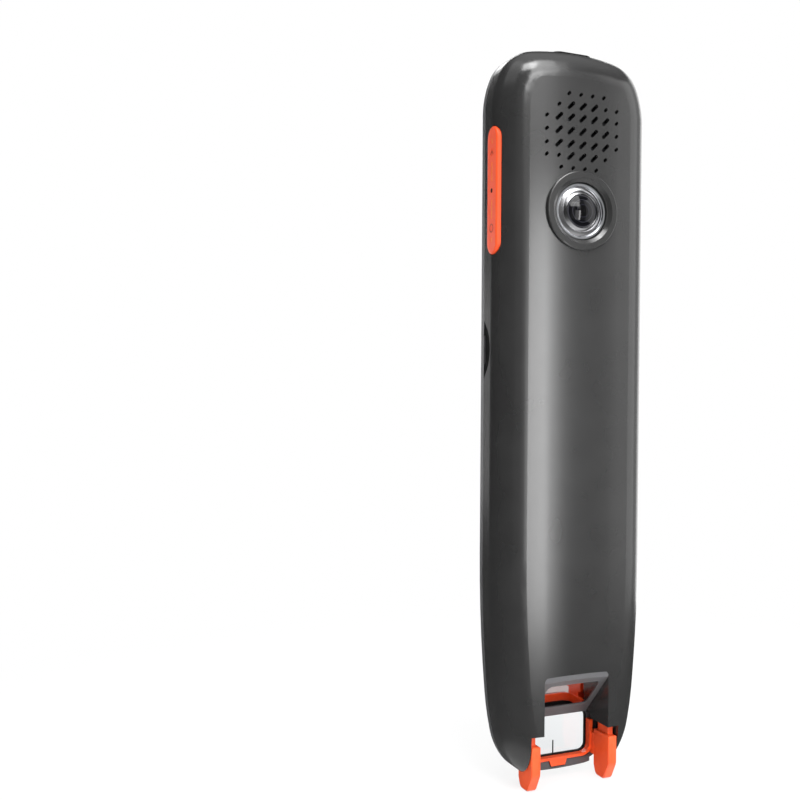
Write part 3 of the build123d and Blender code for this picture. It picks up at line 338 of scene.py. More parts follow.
# The front frame is the same ABS under a satin graphite paint with fine metal flake, so it looks lighter.
frame_paint, tree, surface, place = new_finish("frame_graphite_paint", "58585a", 0.36, 0.2)
flake = add_node(tree, "ShaderNodeTexVoronoi", {"Vector": place, "Scale": 1 / (0.12 * MM)})
tones = add_node(tree, "ShaderNodeValToRGB", {"Fac": flake.outputs["Distance"]})
set_stops(tones, ((0.1, "68686a"), (0.5, "545456")))
tree.links.new(tones.outputs["Color"], surface.inputs["Base Color"])
dress(frame_paint, "front_frame")

# Toughened cover glass: black where it is printed behind, so the glass itself stays clear, with faint smears.
cover_clear, tree, surface, place = new_finish(
    "cover_toughened_glass", "ffffff", 0.0, Transmission_Weight=1.0, IOR=1.5)
smears = add_node(tree, "ShaderNodeTexNoise", {"Vector": place, "Scale": 1 / (14 * MM), "Detail": 3.0})
sheen = add_node(tree, "ShaderNodeMapRange", {
    "Value": smears.outputs["Fac"], "From Min": 0.5, "From Max": 0.8, "To Min": 0.0, "To Max": 0.02,
}).outputs["Result"]
tree.links.new(sheen, surface.inputs["Roughness"])
dress(cover_clear, "cover_glass")

# Clear moulded polycarbonate plate over the scan window, a little less flat than the glass.
window_clear, tree, surface, place = new_finish(
    "window_clear_polycarbonate", "fafcfd", 0.0, Transmission_Weight=1.0, IOR=1.58)
ripple = add_node(tree, "ShaderNodeTexNoise", {"Vector": place, "Scale": 1 / (5 * MM)})
relief = add_node(tree, "ShaderNodeBump", {
    "Height": ripple.outputs["Fac"], "Strength": 0.1, "Distance": 0.02 * MM,
})
tree.links.new(relief.outputs["Normal"], surface.inputs["Normal"])
dress(window_clear, "scan_window")

# Black ink screen-printed behind the glass: deep and even, with the print's faint mesh in its sheen.
mask_ink, tree, surface, place = new_finish("mask_black_ink", "050506", 0.6, Specular_IOR_Level=0.1)
mesh_marks = add_node(tree, "ShaderNodeTexNoise", {"Vector": place, "Scale": 1 / (0.3 * MM)})
tones = add_node(tree, "ShaderNodeValToRGB", {"Fac": mesh_marks.outputs["Fac"]})
set_stops(tones, ((0.3, "040405"), (0.7, "070708")))
tree.links.new(tones.outputs["Color"], surface.inputs["Base Color"])
dress(mask_ink, "bezel_mask")

# The panel's unlit pixels: near black, in faint rows. The real rows are 0.09 mm apart; they are drawn 1.9 mm
# apart, which is 2 pi times 0.3 mm, so that they show.
panel_pixels, tree, surface, place = new_finish("panel_unlit_pixels", "020203", 0.6, Specular_IOR_Level=0.05)
rows = add_node(tree, "ShaderNodeTexWave", {
    "Vector": place, "Scale": 1 / (0.3 * MM) / WAVE_RADIANS,
}, bands_direction="Z")
tones = add_node(tree, "ShaderNodeValToRGB", {"Fac": rows.outputs["Fac"]})
set_stops(tones, ((0.3, "020203"), (0.8, "050507")))
tree.links.new(tones.outputs["Color"], surface.inputs["Base Color"])
dress(panel_pixels, "display_panel")

# ------------------------------------------------------------------ orange pieces

# ABS in bright orange, moulded glossier than the shell: the trigger's frame and feet.
trigger_abs, tree, surface, place = new_finish("trigger_orange_abs", "f05220", 0.3, Specular_IOR_Level=0.75)
flow = add_node(tree, "ShaderNodeTexNoise", {"Vector": place, "Scale": 1 / (3 * MM), "Detail": 2.0})
tones = add_node(tree, "ShaderNodeValToRGB", {"Fac": flow.outputs["Fac"]})
set_stops(tones, ((0.3, "ed501e"), (0.7, "f45c2a")))
tree.links.new(tones.outputs["Color"], surface.inputs["Base Color"])
grain = add_node(tree, "ShaderNodeTexNoise", {"Vector": place, "Scale": 1 / (0.2 * MM), "Detail": 2.0})
relief = add_node(tree, "ShaderNodeBump", {
    "Height": grain.outputs["Fac"], "Strength": 0.2, "Distance": 0.01 * MM,
})
tree.links.new(relief.outputs["Normal"], surface.inputs["Normal"])
dress(trigger_abs, "trigger_frame", "left_foot", "right_foot")

# The key is the same ABS moulded satin: duller and a little deeper in colour, its grain drawn at 0.22 mm.
key_abs, tree, surface, place = new_finish("key_orange_satin_abs", "e84c1e", 0.4, Specular_IOR_Level=0.35)
grain = add_node(tree, "ShaderNodeTexNoise", {"Vector": place, "Scale": 1 / (0.22 * MM), "Detail": 2.0})
tones = add_node(tree, "ShaderNodeValToRGB", {"Fac": grain.outputs["Fac"]})
set_stops(tones, ((0.3, "e4481a"), (0.7, "ec5022")))
tree.links.new(tones.outputs["Color"], surface.inputs["Base Color"])
relief = add_node(tree, "ShaderNodeBump", {
    "Height": grain.outputs["Fac"], "Strength": 0.25, "Distance": 0.01 * MM,
})
tree.links.new(relief.outputs["Normal"], surface.inputs["Normal"])
dress(key_abs, "side_key")

# ------------------------------------------------------------------ rear camera

lens_axis = Vector((0, 0, 128.2 * MM))
lens_radius = 3.6 * MM

# Brass turned and chrome plated: a mirror with the turning's faint rings.
ring_chrome, tree, surface, place = new_finish("ring_chrome_plate", "d8dade", 0.12, 1.0)
centred = add_node(tree, "ShaderNodeMapping", {"Vector": place, "Location": -lens_axis})
turning = add_node(tree, "ShaderNodeTexWave", {
    "Vector": centred.outputs["Vector"], "Scale": 1 / (0.25 * MM) / WAVE_RADIANS, "Distortion": 0.3,
}, wave_type="RINGS", rings_direction="Y")
sheen = add_node(tree, "ShaderNodeMapRange", {
    "Value": turning.outputs["Fac"], "To Min": 0.1, "To Max": 0.2,
}).outputs["Result"]
tree.links.new(sheen, surface.inputs["Roughness"])
dress(ring_chrome, "camera_bezel")

# Aluminium barrel, turned and bright dipped: the fine rings draw its highlights out into fans.
barrel_turned, tree, surface, place = new_finish(
    "barrel_turned_aluminium", "c0c0c2", 0.22, 1.0, Anisotropic=0.85)
from_axis = add_node(tree, "ShaderNodeVectorMath", {
    0: place, 1: lens_axis,
}, operation="SUBTRACT").outputs["Vector"]
round_axis = add_node(tree, "ShaderNodeVectorMath", {0: (0, 1, 0), 1: from_axis}, operation="CROSS_PRODUCT")
round_axis = add_node(tree, "ShaderNodeVectorMath", {0: round_axis.outputs["Vector"]}, operation="NORMALIZE")
tree.links.new(round_axis.outputs["Vector"], surface.inputs["Tangent"])
turning = add_node(tree, "ShaderNodeTexWave", {
    "Vector": from_axis, "Scale": 1 / (0.3 * MM) / WAVE_RADIANS,
}, wave_type="RINGS", rings_direction="Y")
relief = add_node(tree, "ShaderNodeBump", {
    "Height": turning.outputs["Fac"], "Strength": 0.25, "Distance": 0.02 * MM,
})
tree.links.new(relief.outputs["Normal"], surface.inputs["Normal"])
dress(barrel_turned, "lens_barrel")

# Multi-coated lens: nearly black, because the coating returns so little light, with the dark pupil, the
# inner rings and a trace of the coating's violet showing through it.
lens_coated, tree, surface, place = new_finish(
    "lens_multicoated_glass", "0b0c10", 0.1, Specular_IOR_Level=0.1, Coat_Weight=1.0,
    Coat_Roughness=0.06, Coat_IOR=1.32)
from_axis = add_node(tree, "ShaderNodeVectorMath", {
    0: place, 1: lens_axis,
}, operation="SUBTRACT").outputs["Vector"]
from_axis = add_node(tree, "ShaderNodeVectorMath", {0: from_axis, 1: (1, 0, 1)}, operation="MULTIPLY")
radius = add_node(tree, "ShaderNodeVectorMath", {0: from_axis.outputs["Vector"]}, operation="LENGTH")
across = add_node(tree, "ShaderNodeMath", {0: radius.outputs["Value"], 1: lens_radius}, operation="DIVIDE")
tones = add_node(tree, "ShaderNodeValToRGB", {"Fac": across.outputs["Value"]})
set_stops(tones, (
    (0.0, "010102"), (0.34, "020203"), (0.38, "1c1c24"), (0.42, "060608"), (0.64, "08080c"), (0.68, "2c2c32"),
    (0.72, "08080a"), (0.9, "0c0c10"), (0.95, "3c3c40"), (1.0, "0a0a0c"),
))
tree.links.new(tones.outputs["Color"], surface.inputs["Base Color"])
dress(lens_coated, "camera_lens")

# ------------------------------------------------------------------ plug, port, speaker and scan head

# Soft black TPE plug: dull, with a fine dusty mottle.
plug_tpe, tree, surface, place = new_finish("plug_black_tpe", "0a0a0a", 0.8, Specular_IOR_Level=0.1)
dust = add_node(tree, "ShaderNodeTexNoise", {"Vector": place, "Scale": 1 / (0.4 * MM), "Detail": 3.0})
tones = add_node(tree, "ShaderNodeValToRGB", {"Fac": dust.outputs["Fac"]})
set_stops(tones, ((0.35, "080808"), (0.7, "0e0e0e")))
tree.links.new(tones.outputs["Color"], surface.inputs["Base Color"])
dress(plug_tpe, "card_plug")

# Drawn stainless steel of the USB-C shell, with fine lines along the draw.
port_steel, tree, surface, place = new_finish("port_drawn_steel", "747679", 0.28, 1.0)
stretched = add_node(tree, "ShaderNodeMapping", {"Vector": place, "Scale": (1, 1, 0.05)})
lines = add_node(tree, "ShaderNodeTexNoise", {
    "Vector": stretched.outputs["Vector"], "Scale": 1 / (0.12 * MM),
})
sheen = add_node(tree, "ShaderNodeMapRange", {
    "Value": lines.outputs["Fac"], "From Min": 0.3, "From Max": 0.7, "To Min": 0.2, "To Max": 0.38,
}).outputs["Result"]
tree.links.new(sheen, surface.inputs["Roughness"])
dress(port_steel, "usb_port")

# Woven steel mesh behind the speaker's openings. Its wires are 0.2 mm apart; they are drawn 1.9 mm apart,
# which is 2 pi times 0.3 mm, so that light and dark places show in the openings.
mesh_weave, tree, surface, place = new_finish("mesh_woven_steel", "2c2d30", 0.5, 0.7)
wires_up = add_node(tree, "ShaderNodeTexWave", {
    "Vector": place, "Scale": 1 / (0.3 * MM) / WAVE_RADIANS,
}, bands_direction="X")
wires_across = add_node(tree, "ShaderNodeTexWave", {
    "Vector": place, "Scale": 1 / (0.3 * MM) / WAVE_RADIANS,
}, bands_direction="Z")
weave = add_node(tree, "ShaderNodeMath", {
    0: wires_up.outputs["Fac"], 1: wires_across.outputs["Fac"],
}, operation="MULTIPLY").outputs[0]
tones = add_node(tree, "ShaderNodeValToRGB", {"Fac": weave})
set_stops(tones, ((0.1, "0c0c0d"), (0.7, "3e4044")))
tree.links.new(tones.outputs["Color"], surface.inputs["Base Color"])
dress(mesh_weave, "speaker_mesh")

# Lighter grey ABS of the scan head's frame, finely grained.
head_abs, tree, surface, place = new_finish("head_grey_abs", "58585a", 0.4)
grain = add_node(tree, "ShaderNodeTexNoise", {"Vector": place, "Scale": 1 / (0.25 * MM), "Detail": 2.0})
tones = add_node(tree, "ShaderNodeValToRGB", {"Fac": grain.outputs["Fac"]})
set_stops(tones, ((0.3, "545456"), (0.7, "5c5c5e")))
tree.links.new(tones.outputs["Color"], surface.inputs["Base Color"])
dress(head_abs, "scanner_frame")

# Acrylic pane under a thin mirror coat: mostly a mirror, with a faint rose tint that drifts across it.
pane_mirror, tree, surface, place = new_finish(
    "pane_mirror_coated_acrylic", "d8c4c2", 0.02, 0.7, Transmission_Weight=1.0, IOR=1.49)
tint = add_node(tree, "ShaderNodeTexNoise", {"Vector": place, "Scale": 1 / (4 * MM)})
tones = add_node(tree, "ShaderNodeValToRGB", {"Fac": tint.outputs["Fac"]})
set_stops(tones, ((0.3, "d2bcba"), (0.7, "decccb")))
tree.links.new(tones.outputs["Color"], surface.inputs["Base Color"])
dress(pane_mirror, "scanner_glass")

# ------------------------------------------------------------------ pieces inside

# Rolled steel plate, zinc plated: cool grey with rolling lines along it.
plate_zinc, tree, surface, place = new_finish("plate_rolled_zinc", "9a9da0", 0.45, 1.0)
stretched = add_node(tree, "ShaderNodeMapping", {"Vector": place, "Scale": (1, 1, 0.04)})
rolling = add_node(tree, "ShaderNodeTexNoise", {
    "Vector": stretched.outputs["Vector"], "Scale": 1 / (0.3 * MM),
})
tones = add_node(tree, "ShaderNodeValToRGB", {"Fac": rolling.outputs["Fac"]})
set_stops(tones, ((0.3, "8f9295"), (0.7, "a5a8ab")))
tree.links.new(tones.outputs["Color"], surface.inputs["Base Color"])
dress(plate_zinc, "chassis_plate", "key_bracket")

# Glass-epoxy board under green solder mask, with its copper tracks just darker and raised.
board_mask, tree, surface, place = new_finish("board_green_solder_mask", "1d5b3a", 0.35)
tracks = add_node(tree, "ShaderNodeTexBrick", {
    "Vector": add_node(tree, "ShaderNodeMapping", {
        "Vector": place, "Rotation": (math.radians(90), 0, 0),
    }).outputs["Vector"],
    "Scale": 1 / (6 * MM), "Mortar Size": 0.03, "Color1": shade("1d5b3a"), "Color2": shade("21653f"),
    "Mortar": shade("123c27"),
})
tree.links.new(tracks.outputs["Color"], surface.inputs["Base Color"])
dress(board_mask, "main_board", "key_board")

# Nickel-plated screws and pin: bright, with patches scuffed duller.
screw_nickel, tree, surface, place = new_finish("screw_nickel_plate", "b9b6ae", 0.25, 1.0)
scuffs = add_node(tree, "ShaderNodeTexNoise", {"Vector": place, "Scale": 1 / (0.5 * MM)})
sheen = add_node(tree, "ShaderNodeMapRange", {
    "Value": scuffs.outputs["Fac"], "To Min": 0.15, "To Max": 0.4,
}).outputs["Result"]
tree.links.new(sheen, surface.inputs["Roughness"])
dress(screw_nickel, "board_screws", "key_pin")

# Polyimide ribbon: amber film with its copper lines showing through.
ribbon_film, tree, surface, place = new_finish("ribbon_amber_polyimide", "b4701e", 0.3)
lines = add_node(tree, "ShaderNodeTexWave", {
    "Vector": place, "Scale": 1 / (0.5 * MM) / WAVE_RADIANS,
}, bands_direction="X")
tones = add_node(tree, "ShaderNodeValToRGB", {"Fac": lines.outputs["Fac"]})
set_stops(tones, ((0.35, "a8661a"), (0.6, "d08a3c")))
tree.links.new(tones.outputs["Color"], surface.inputs["Base Color"])
dress(ribbon_film, "display_ribbon")

# Closed-cell foam: dull black with open pinholes.
foam_cells, tree, surface, place = new_finish("foam_closed_cell", "1c1c1d", 0.95)
cells = add_node(tree, "ShaderNodeTexVoronoi", {"Vector": place, "Scale": 1 / (0.4 * MM)})
tones = add_node(tree, "ShaderNodeValToRGB", {"Fac": cells.outputs["Distance"]})
set_stops(tones, ((0.1, "101011"), (0.6, "262628")))
tree.links.new(tones.outputs["Color"], surface.inputs["Base Color"])
dress(foam_cells, "battery_pad", "speaker_gasket")

# Pouch cell in aluminium foil laminate, lightly wrinkled.
battery_foil, tree, surface, place = new_finish("battery_foil_pouch", "b4b7ba", 0.32, 0.9)
wrinkles = add_node(tree, "ShaderNodeTexNoise", {"Vector": place, "Scale": 1 / (3 * MM), "Detail": 3.0})
relief = add_node(tree, "ShaderNodeBump", {
    "Height": wrinkles.outputs["Fac"], "Strength": 0.5, "Distance": 0.15 * MM,
})
tree.links.new(relief.outputs["Normal"], surface.inputs["Normal"])
dress(battery_foil, "battery")

# Filled epoxy of the chips and switches: charcoal, speckled by its silica filler.
chip_epoxy, tree, surface, place = new_finish("chip_moulded_epoxy", "202123", 0.55)
filler = add_node(tree, "ShaderNodeTexNoise", {"Vector": place, "Scale": 1 / (0.15 * MM)})
tones = add_node(tree, "ShaderNodeValToRGB", {"Fac": filler.outputs["Fac"]})
set_stops(tones, ((0.35, "1b1c1e"), (0.7, "2b2c2f")))
tree.links.new(tones.outputs["Color"], surface.inputs["Base Color"])
dress(chip_epoxy, "processor", "power_chip", "key_switches", "trigger_switch", "camera_module", "scan_camera",
      "speaker_driver", "card_socket")

# Tinned steel can and microphone lid: pale grey with a soft crystalline spangle.
can_tinplate, tree, surface, place = new_finish("can_tinplate", "c3c4c2", 0.35, 1.0)
spangle = add_node(tree, "ShaderNodeTexVoronoi", {"Vector": place, "Scale": 1 / (1.2 * MM)})
sheen = add_node(tree, "ShaderNodeMapRange", {
    "Value": spangle.outputs["Distance"], "To Min": 0.28, "To Max": 0.45,
}).outputs["Result"]
tree.links.new(sheen, surface.inputs["Roughness"])
dress(can_tinplate, "shield_can", "microphone")

# Antenna's ceramic body, off-white and slightly rough, with a fired mottle.
antenna_ceramic, tree, surface, place = new_finish("antenna_fired_ceramic", "dcd6c4", 0.5)
mottle = add_node(tree, "ShaderNodeTexNoise", {"Vector": place, "Scale": 1 / (0.8 * MM)})
tones = add_node(tree, "ShaderNodeValToRGB", {"Fac": mottle.outputs["Fac"]})
set_stops(tones, ((0.3, "d3ccb8"), (0.7, "e5e0d0")))
tree.links.new(tones.outputs["Color"], surface.inputs["Base Color"])
dress(antenna_ceramic, "antenna")

# Spring steel wire, oil tempered: blue-grey with a fine mottle.
spring_wire, tree, surface, place = new_finish("spring_tempered_wire", "7d828a", 0.3, 1.0)
mottle = add_node(tree, "ShaderNodeTexNoise", {"Vector": place, "Scale": 1 / (0.3 * MM)})
tones = add_node(tree, "ShaderNodeValToRGB", {"Fac": mottle.outputs["Fac"]})
set_stops(tones, ((0.3, "6f747c"), (0.7, "8c9199")))
tree.links.new(tones.outputs["Color"], surface.inputs["Base Color"])
dress(spring_wire, "trigger_springs")

# The trigger squeezes its springs against the shell as it rises; a copy of the pair, its doubled points
# merged, stands for them on the housing.
springs = bpy.data.objects.new("trigger_spring_coils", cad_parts["trigger_springs"].data.copy())
bpy.context.scene.collection.objects.link(springs)
bpy.ops.object.select_all(action="DESELECT")
springs.select_set(True)
bpy.context.view_layer.objects.active = springs
bpy.ops.object.mode_set(mode="EDIT")
bpy.ops.mesh.select_all(action="SELECT")
bpy.ops.mesh.remove_doubles(threshold=TINY)
bpy.ops.object.mode_set(mode="OBJECT")
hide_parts("trigger_springs")
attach(springs, "housing")
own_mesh(springs)

# White silicone round the scan light: milky, softly rough.
light_silicone, tree, surface, place = new_finish("light_milky_silicone", "e9ebe6", 0.4)
haze = add_node(tree, "ShaderNodeTexNoise", {"Vector": place, "Scale": 1 / (1.5 * MM)})
tones = add_node(tree, "ShaderNodeValToRGB", {"Fac": haze.outputs["Fac"]})
set_stops(tones, ((0.3, "e2e4de"), (0.7, "f0f2ee")))
tree.links.new(tones.outputs["Color"], surface.inputs["Base Color"])
dress(light_silicone, "scan_light")

# ------------------------------------------------------------------ seal of the window, painted shade round the port's mouth


def collar(name, width, height, corner, segments, lip, run, place, material, tilt=0.0):
    """A rounded ring in X and Y, turned about X by tilt in degrees, then drawn out by run, a vector."""
    piece = start_piece(bpy.ops.mesh.primitive_plane_add, (width, height, 1), (math.radians(tilt), 0, 0))
    bpy.ops.mesh.bevel(offset=corner, segments=segments, affect="VERTICES")
    bpy.ops.mesh.select_all(action="SELECT")
    bpy.ops.mesh.inset(thickness=lip)
    bpy.ops.mesh.delete(type="FACE")
    bpy.ops.mesh.select_all(action="SELECT")
    bpy.ops.mesh.extrude_region_move(TRANSFORM_OT_translate={"value": run})
    face_outwards()
    end_piece(piece, name, place, material)
    return piece


# Black silicone seal lining the window's opening, dull and a little dusty.
seal_silicone, tree, surface, place = new_finish("seal_black_silicone", "0b0b0c", 0.7, Specular_IOR_Level=0.3)
dust = add_node(tree, "ShaderNodeTexNoise", {"Vector": place, "Scale": 1 / (0.5 * MM), "Detail": 3.0})
tones = add_node(tree, "ShaderNodeValToRGB", {"Fac": dust.outputs["Fac"]})
set_stops(tones, ((0.35, "08080a"), (0.7, "111113")))
tree.links.new(tones.outputs["Color"], surface.inputs["Base Color"])
seal_width, seal_height, seal_corner, seal_lip = 16.2 * MM, 9.9 * MM, 1.9 * MM, 0.25 * MM
seal_front, seal_back, seal_middle = -5.4 * MM, -4.5 * MM, 9.5 * MM
seal = collar(
    "window_seal", seal_width, seal_height, seal_corner, segments=8, lip=seal_lip,
    run=(0, seal_back - seal_front, 0), place=(0, seal_front, seal_middle), material=seal_silicone, tilt=90)
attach(seal, "housing")

# Black ring round the port's mouth, standing a hair proud of the rounded crown: painted shade for the dark
# inside the opening, in the plug's black TPE.
mouth_shade_width, mouth_shade_depth, mouth_shade_lip = 9.6 * MM, 3.9 * MM, 0.3 * MM
mouth_shade_top, mouth_shade_bottom = cad_high.z - 0.22 * MM, cad_high.z - 0.6 * MM
# Just under half its depth, so that its ends are round
mouth_shade_corner = 0.499 * mouth_shade_depth
mouth_shade = collar(
    "port_painted_shade", mouth_shade_width, mouth_shade_depth, mouth_shade_corner, segments=10, lip=mouth_shade_lip,
    run=(0, 0, mouth_shade_bottom - mouth_shade_top), place=(0, 0, mouth_shade_top), material=plug_tpe)
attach(mouth_shade, "housing")

# ------------------------------------------------------------------ inlays and marks of the key

key_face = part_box("side_key")[1].x
key_middle = Vector((key_face, -0.35 * MM, 132.05 * MM))


def key_inlay(name, width, height, depth, raised, rise, material):
    """An inlay with round ends on the key's face, its outer side `raised` from the face, all in mm."""
    piece = start_piece(bpy.ops.mesh.primitive_cube_add, (depth * MM, width * MM, height * MM))
    bpy.ops.mesh.select_mode(type="EDGE")
    bpy.ops.mesh.select_all(action="DESELECT")
    corners = bmesh.from_edit_mesh(piece.data)
    for edge in corners.edges:
        edge.select_set(abs(edge.verts[0].co.x - edge.verts[1].co.x) > depth * MM / 2)
    bmesh.update_edit_mesh(piece.data)
    bpy.ops.mesh.bevel(offset=0.49 * min(width, height) * MM, segments=6, affect="EDGES")
    end_piece(piece, name, key_middle + Vector(((raised - depth / 2) * MM, 0, rise * MM)), material)
    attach(piece, "key")


# Paler orange laid in the key's grooves, glossier than the key: a painted highlight for the light the
# grooves' edges catch. Each line has its rise and height.
groove_highlight, tree, surface, place = new_finish("key_groove_painted_highlight", "ff9050", 0.25)
flow = add_node(tree, "ShaderNodeTexNoise", {"Vector": place, "Scale": 1 / (1.5 * MM)})
tones = add_node(tree, "ShaderNodeValToRGB", {"Fac": flow.outputs["Fac"]})
set_stops(tones, ((0.3, "fa8844"), (0.7, "ff985a")))
tree.links.new(tones.outputs["Color"], surface.inputs["Base Color"])
for number, (rise, height) in enumerate(((-10.65, 1.1), (-4.08, 4.2), (4.08, 4.2), (10.65, 1.1))):
    key_inlay(f"key_groove_line_{number}", width=0.34, height=height, depth=0.08, raised=-0.03, rise=rise,
              material=groove_highlight)

# Dark brown-orange disc over the key's hole: painted shade for the dark inside the hole, dull, with a fine
# speckle drawn at 0.15 mm.
hole_shade, tree, surface, place = new_finish("key_hole_painted_shade", "1c0a06", 0.8, Specular_IOR_Level=0.2)
hole_speckle = add_node(tree, "ShaderNodeTexVoronoi", {"Vector": place, "Scale": 1 / (0.15 * MM)})
tones = add_node(tree, "ShaderNodeValToRGB", {"Fac": hole_speckle.outputs["Distance"]})
set_stops(tones, ((0.1, "120604"), (0.6, "2a100a")))
tree.links.new(tones.outputs["Color"], surface.inputs["Base Color"])
key_inlay("key_hole_shade_disc", width=0.9, height=1.0, depth=0.06, raised=0.03, rise=0.0, material=hole_shade)

# Dark red ink in the two marks pressed into the key: a ring below and a chevron above.
mark_ink, tree, surface, place = new_finish("key_mark_ink", "a83010", 0.5)
dry = add_node(tree, "ShaderNodeTexNoise", {"Vector": place, "Scale": 1 / (0.3 * MM)})
tones = add_node(tree, "ShaderNodeValToRGB", {"Fac": dry.outputs["Fac"]})
set_stops(tones, ((0.3, "9c2a0c"), (0.7, "b43818")))
tree.links.new(tones.outputs["Color"], surface.inputs["Base Color"])
mark_rise, mark_depth = 8.15 * MM, 0.06 * MM
ring_line, ring_radius = 0.24 * MM, 0.84 * MM
ring = start_piece(bpy.ops.mesh.primitive_plane_add, (mark_depth, ring_line, 1))
bpy.ops.transform.translate(value=(0, ring_radius, 0))
bpy.ops.mesh.spin(steps=40, angle=math.radians(360), center=(0, 0, 0), axis=(1, 0, 0))
bpy.ops.mesh.select_all(action="SELECT")
bpy.ops.mesh.remove_doubles(threshold=TINY)
bpy.ops.mesh.delete_loose()
face_outwards()
end_piece(ring, "key_ring_mark", key_middle + Vector((0, 0, -mark_rise)), mark_ink)
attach(ring, "key")

chevron_line, arm_across, arm_up, arm_foot = 0.3 * MM, 0.7 * MM, 0.8 * MM, -0.35 * MM
chevron = start_piece(
    bpy.ops.mesh.primitive_plane_add, (chevron_line, mark_depth, 1), (0, 0, math.radians(90)))
bpy.ops.transform.translate(value=(0, -arm_across, arm_foot))
bpy.ops.mesh.extrude_region_move(TRANSFORM_OT_translate={"value": (0, arm_across, arm_up)})
bpy.ops.mesh.extrude_region_move(TRANSFORM_OT_translate={"value": (0, arm_across, -arm_up)})
face_outwards()
end_piece(chevron, "key_chevron_mark", key_middle + Vector((0, 0, mark_rise)), mark_ink)
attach(chevron, "key")

# ------------------------------------------------------------------ lit picture on the panel

# The lit picture is built of very thin layers between the panel's face and the glass.
panel_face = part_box("display_panel")[0].y
layer_step = 0.012 * MM
# The ramp that draws a card's ring runs out to this many of its radii.
ring_reach = 1.6


def lit_pixels(name, stops, start, end, ring=None):
    """Lit pixels whose colour runs from start to end, two places (x, z) in mm. A ring is x, z and radius."""
    material, tree, surface, place = new_finish(name, "000000", 0.5, Specular_IOR_Level=0.0)
    run = Vector((end[0] - start[0], 0, end[1] - start[1])) * MM
    from_start = add_node(tree, "ShaderNodeVectorMath", {
        0: place, 1: (start[0] * MM, 0, start[1] * MM),
    }, operation="SUBTRACT").outputs["Vector"]
    along = add_node(tree, "ShaderNodeVectorMath", {
        0: from_start, 1: run / run.length_squared,
    }, operation="DOT_PRODUCT").outputs["Value"]
    ramp = add_node(tree, "ShaderNodeValToRGB", {"Fac": along})
    set_stops(ramp, stops)
    colour = ramp.outputs["Color"]
    if ring:
        x, z, radius = ring
        flat = add_node(tree, "ShaderNodeVectorMath", {0: place, 1: (1, 0, 1)}, operation="MULTIPLY")
        away = add_node(tree, "ShaderNodeVectorMath", {
            0: flat.outputs["Vector"], 1: (x * MM, 0, z * MM),
        }, operation="DISTANCE").outputs["Value"]
        band = add_node(tree, "ShaderNodeMapRange", {
            "Value": away, "From Max": radius * ring_reach * MM,
        }).outputs["Result"]
        glow = add_node(tree, "ShaderNodeValToRGB", {"Fac": band})
        set_stops(glow, ((0.4, "404040"), (0.42, "606060"), (0.62, "606060"), (0.65, "000000")))
        colour = add_node(tree, "ShaderNodeMix", {
            "Factor": 1.0, 6: colour, 7: glow.outputs["Color"],
        }, data_type="RGBA", blend_type="SCREEN").outputs[2]
    tree.links.new(colour, surface.inputs["Emission Color"])
    surface.inputs["Emission Strength"].default_value = 1.0
    return material


def lay_on_panel(piece, name, layer, material):
    """Moves a flat piece, modelled about the origin, to its layer and fixes its place in its mesh."""
    piece.name = name
    piece.location.y = panel_face - (layer + 0.5) * layer_step
    bpy.ops.object.transform_apply(location=True, rotation=True, scale=True)
    piece.data.materials.append(material)
    return piece


def tile(name, left, right, low, high, radius, layer, material, lead_radius=None, lean=0.0):
    """A thin rounded tile, in mm; lead_radius is its upper left corner's, and lean turns it, in degrees."""
    size = ((right - left) * MM, layer_step, (high - low) * MM)
    piece = start_piece(bpy.ops.mesh.primitive_cube_add, size)
    for lead in (True, False):
        bpy.ops.mesh.select_mode(type="EDGE")
        bpy.ops.mesh.select_all(action="DESELECT")
        corners = bmesh.from_edit_mesh(piece.data)
        for edge in corners.edges:
            first, second = (v.co for v in edge.verts)
            across = abs(first.y - second.y) > layer_step / 2
            at_lead = first.x < 0 < first.z
            square = abs(abs(first.x) - (right - left) * MM / 2) < TINY
            square = square and abs(abs(first.z) - (high - low) * MM / 2) < TINY
            edge.select_set(across and square and at_lead == lead)
        bmesh.update_edit_mesh(piece.data)
        corner = lead_radius if lead and lead_radius else radius
        bpy.ops.mesh.bevel(offset=corner * MM, segments=10, affect="EDGES")
    bpy.ops.object.mode_set(mode="OBJECT")
    piece.location = ((left + right) / 2 * MM, 0, (low + high) / 2 * MM)
    piece.rotation_euler.y = math.radians(lean)
    return lay_on_panel(piece, name, layer, material)


def arc(name, x, z, radius, width, start, sweep, layer, material):
    """A thin stroke round x, z, in mm; start turns from +X towards +Z, both angles in degrees."""
    steps = max(4, int(sweep / 8))
    piece = start_piece(bpy.ops.mesh.primitive_plane_add, (width * MM, layer_step, 1))
    bpy.ops.transform.translate(value=(radius * MM, 0, 0))
    bpy.ops.mesh.spin(steps=steps, angle=-math.radians(sweep), center=(0, 0, 0), axis=(0, 1, 0))
    face_outwards()
    bpy.ops.object.mode_set(mode="OBJECT")
    piece.location = (x * MM, 0, z * MM)
    piece.rotation_euler.y = -math.radians(start)
    return lay_on_panel(piece, name, layer, material)


def figures(name, text, left, right, low, high, layer, material):
    """Plain figures that read upwards, fitted to a box in mm."""
    bpy.ops.object.select_all(action="DESELECT")
    bpy.ops.object.text_add()
    piece = bpy.context.object
    piece.data.body = text
    piece.data.extrude = layer_step / 2
    piece.data.resolution_u = 4
    bpy.ops.object.convert(target="MESH")
    piece = bpy.context.object
    across = [v.co.x for v in piece.data.vertices]
    up = [v.co.y for v in piece.data.vertices]
    fit_across = (high - low) * MM / (max(across) - min(across))
    fit_up = (right - left) * MM / (max(up) - min(up))
    piece.data.transform(Matrix.Diagonal((fit_across, fit_up, 1, 1)) @ Matrix.Translation(
        (-min(across), -min(up), 0)
    ))
    # The figures' own X turns to +Z and their Y to -X, so that they read upwards.
    piece.data.transform(Matrix(((0, -1, 0, right * MM), (0, 0, -1, 0), (1, 0, 0, low * MM), (0, 0, 0, 1))))
    return lay_on_panel(piece, name, layer, material)


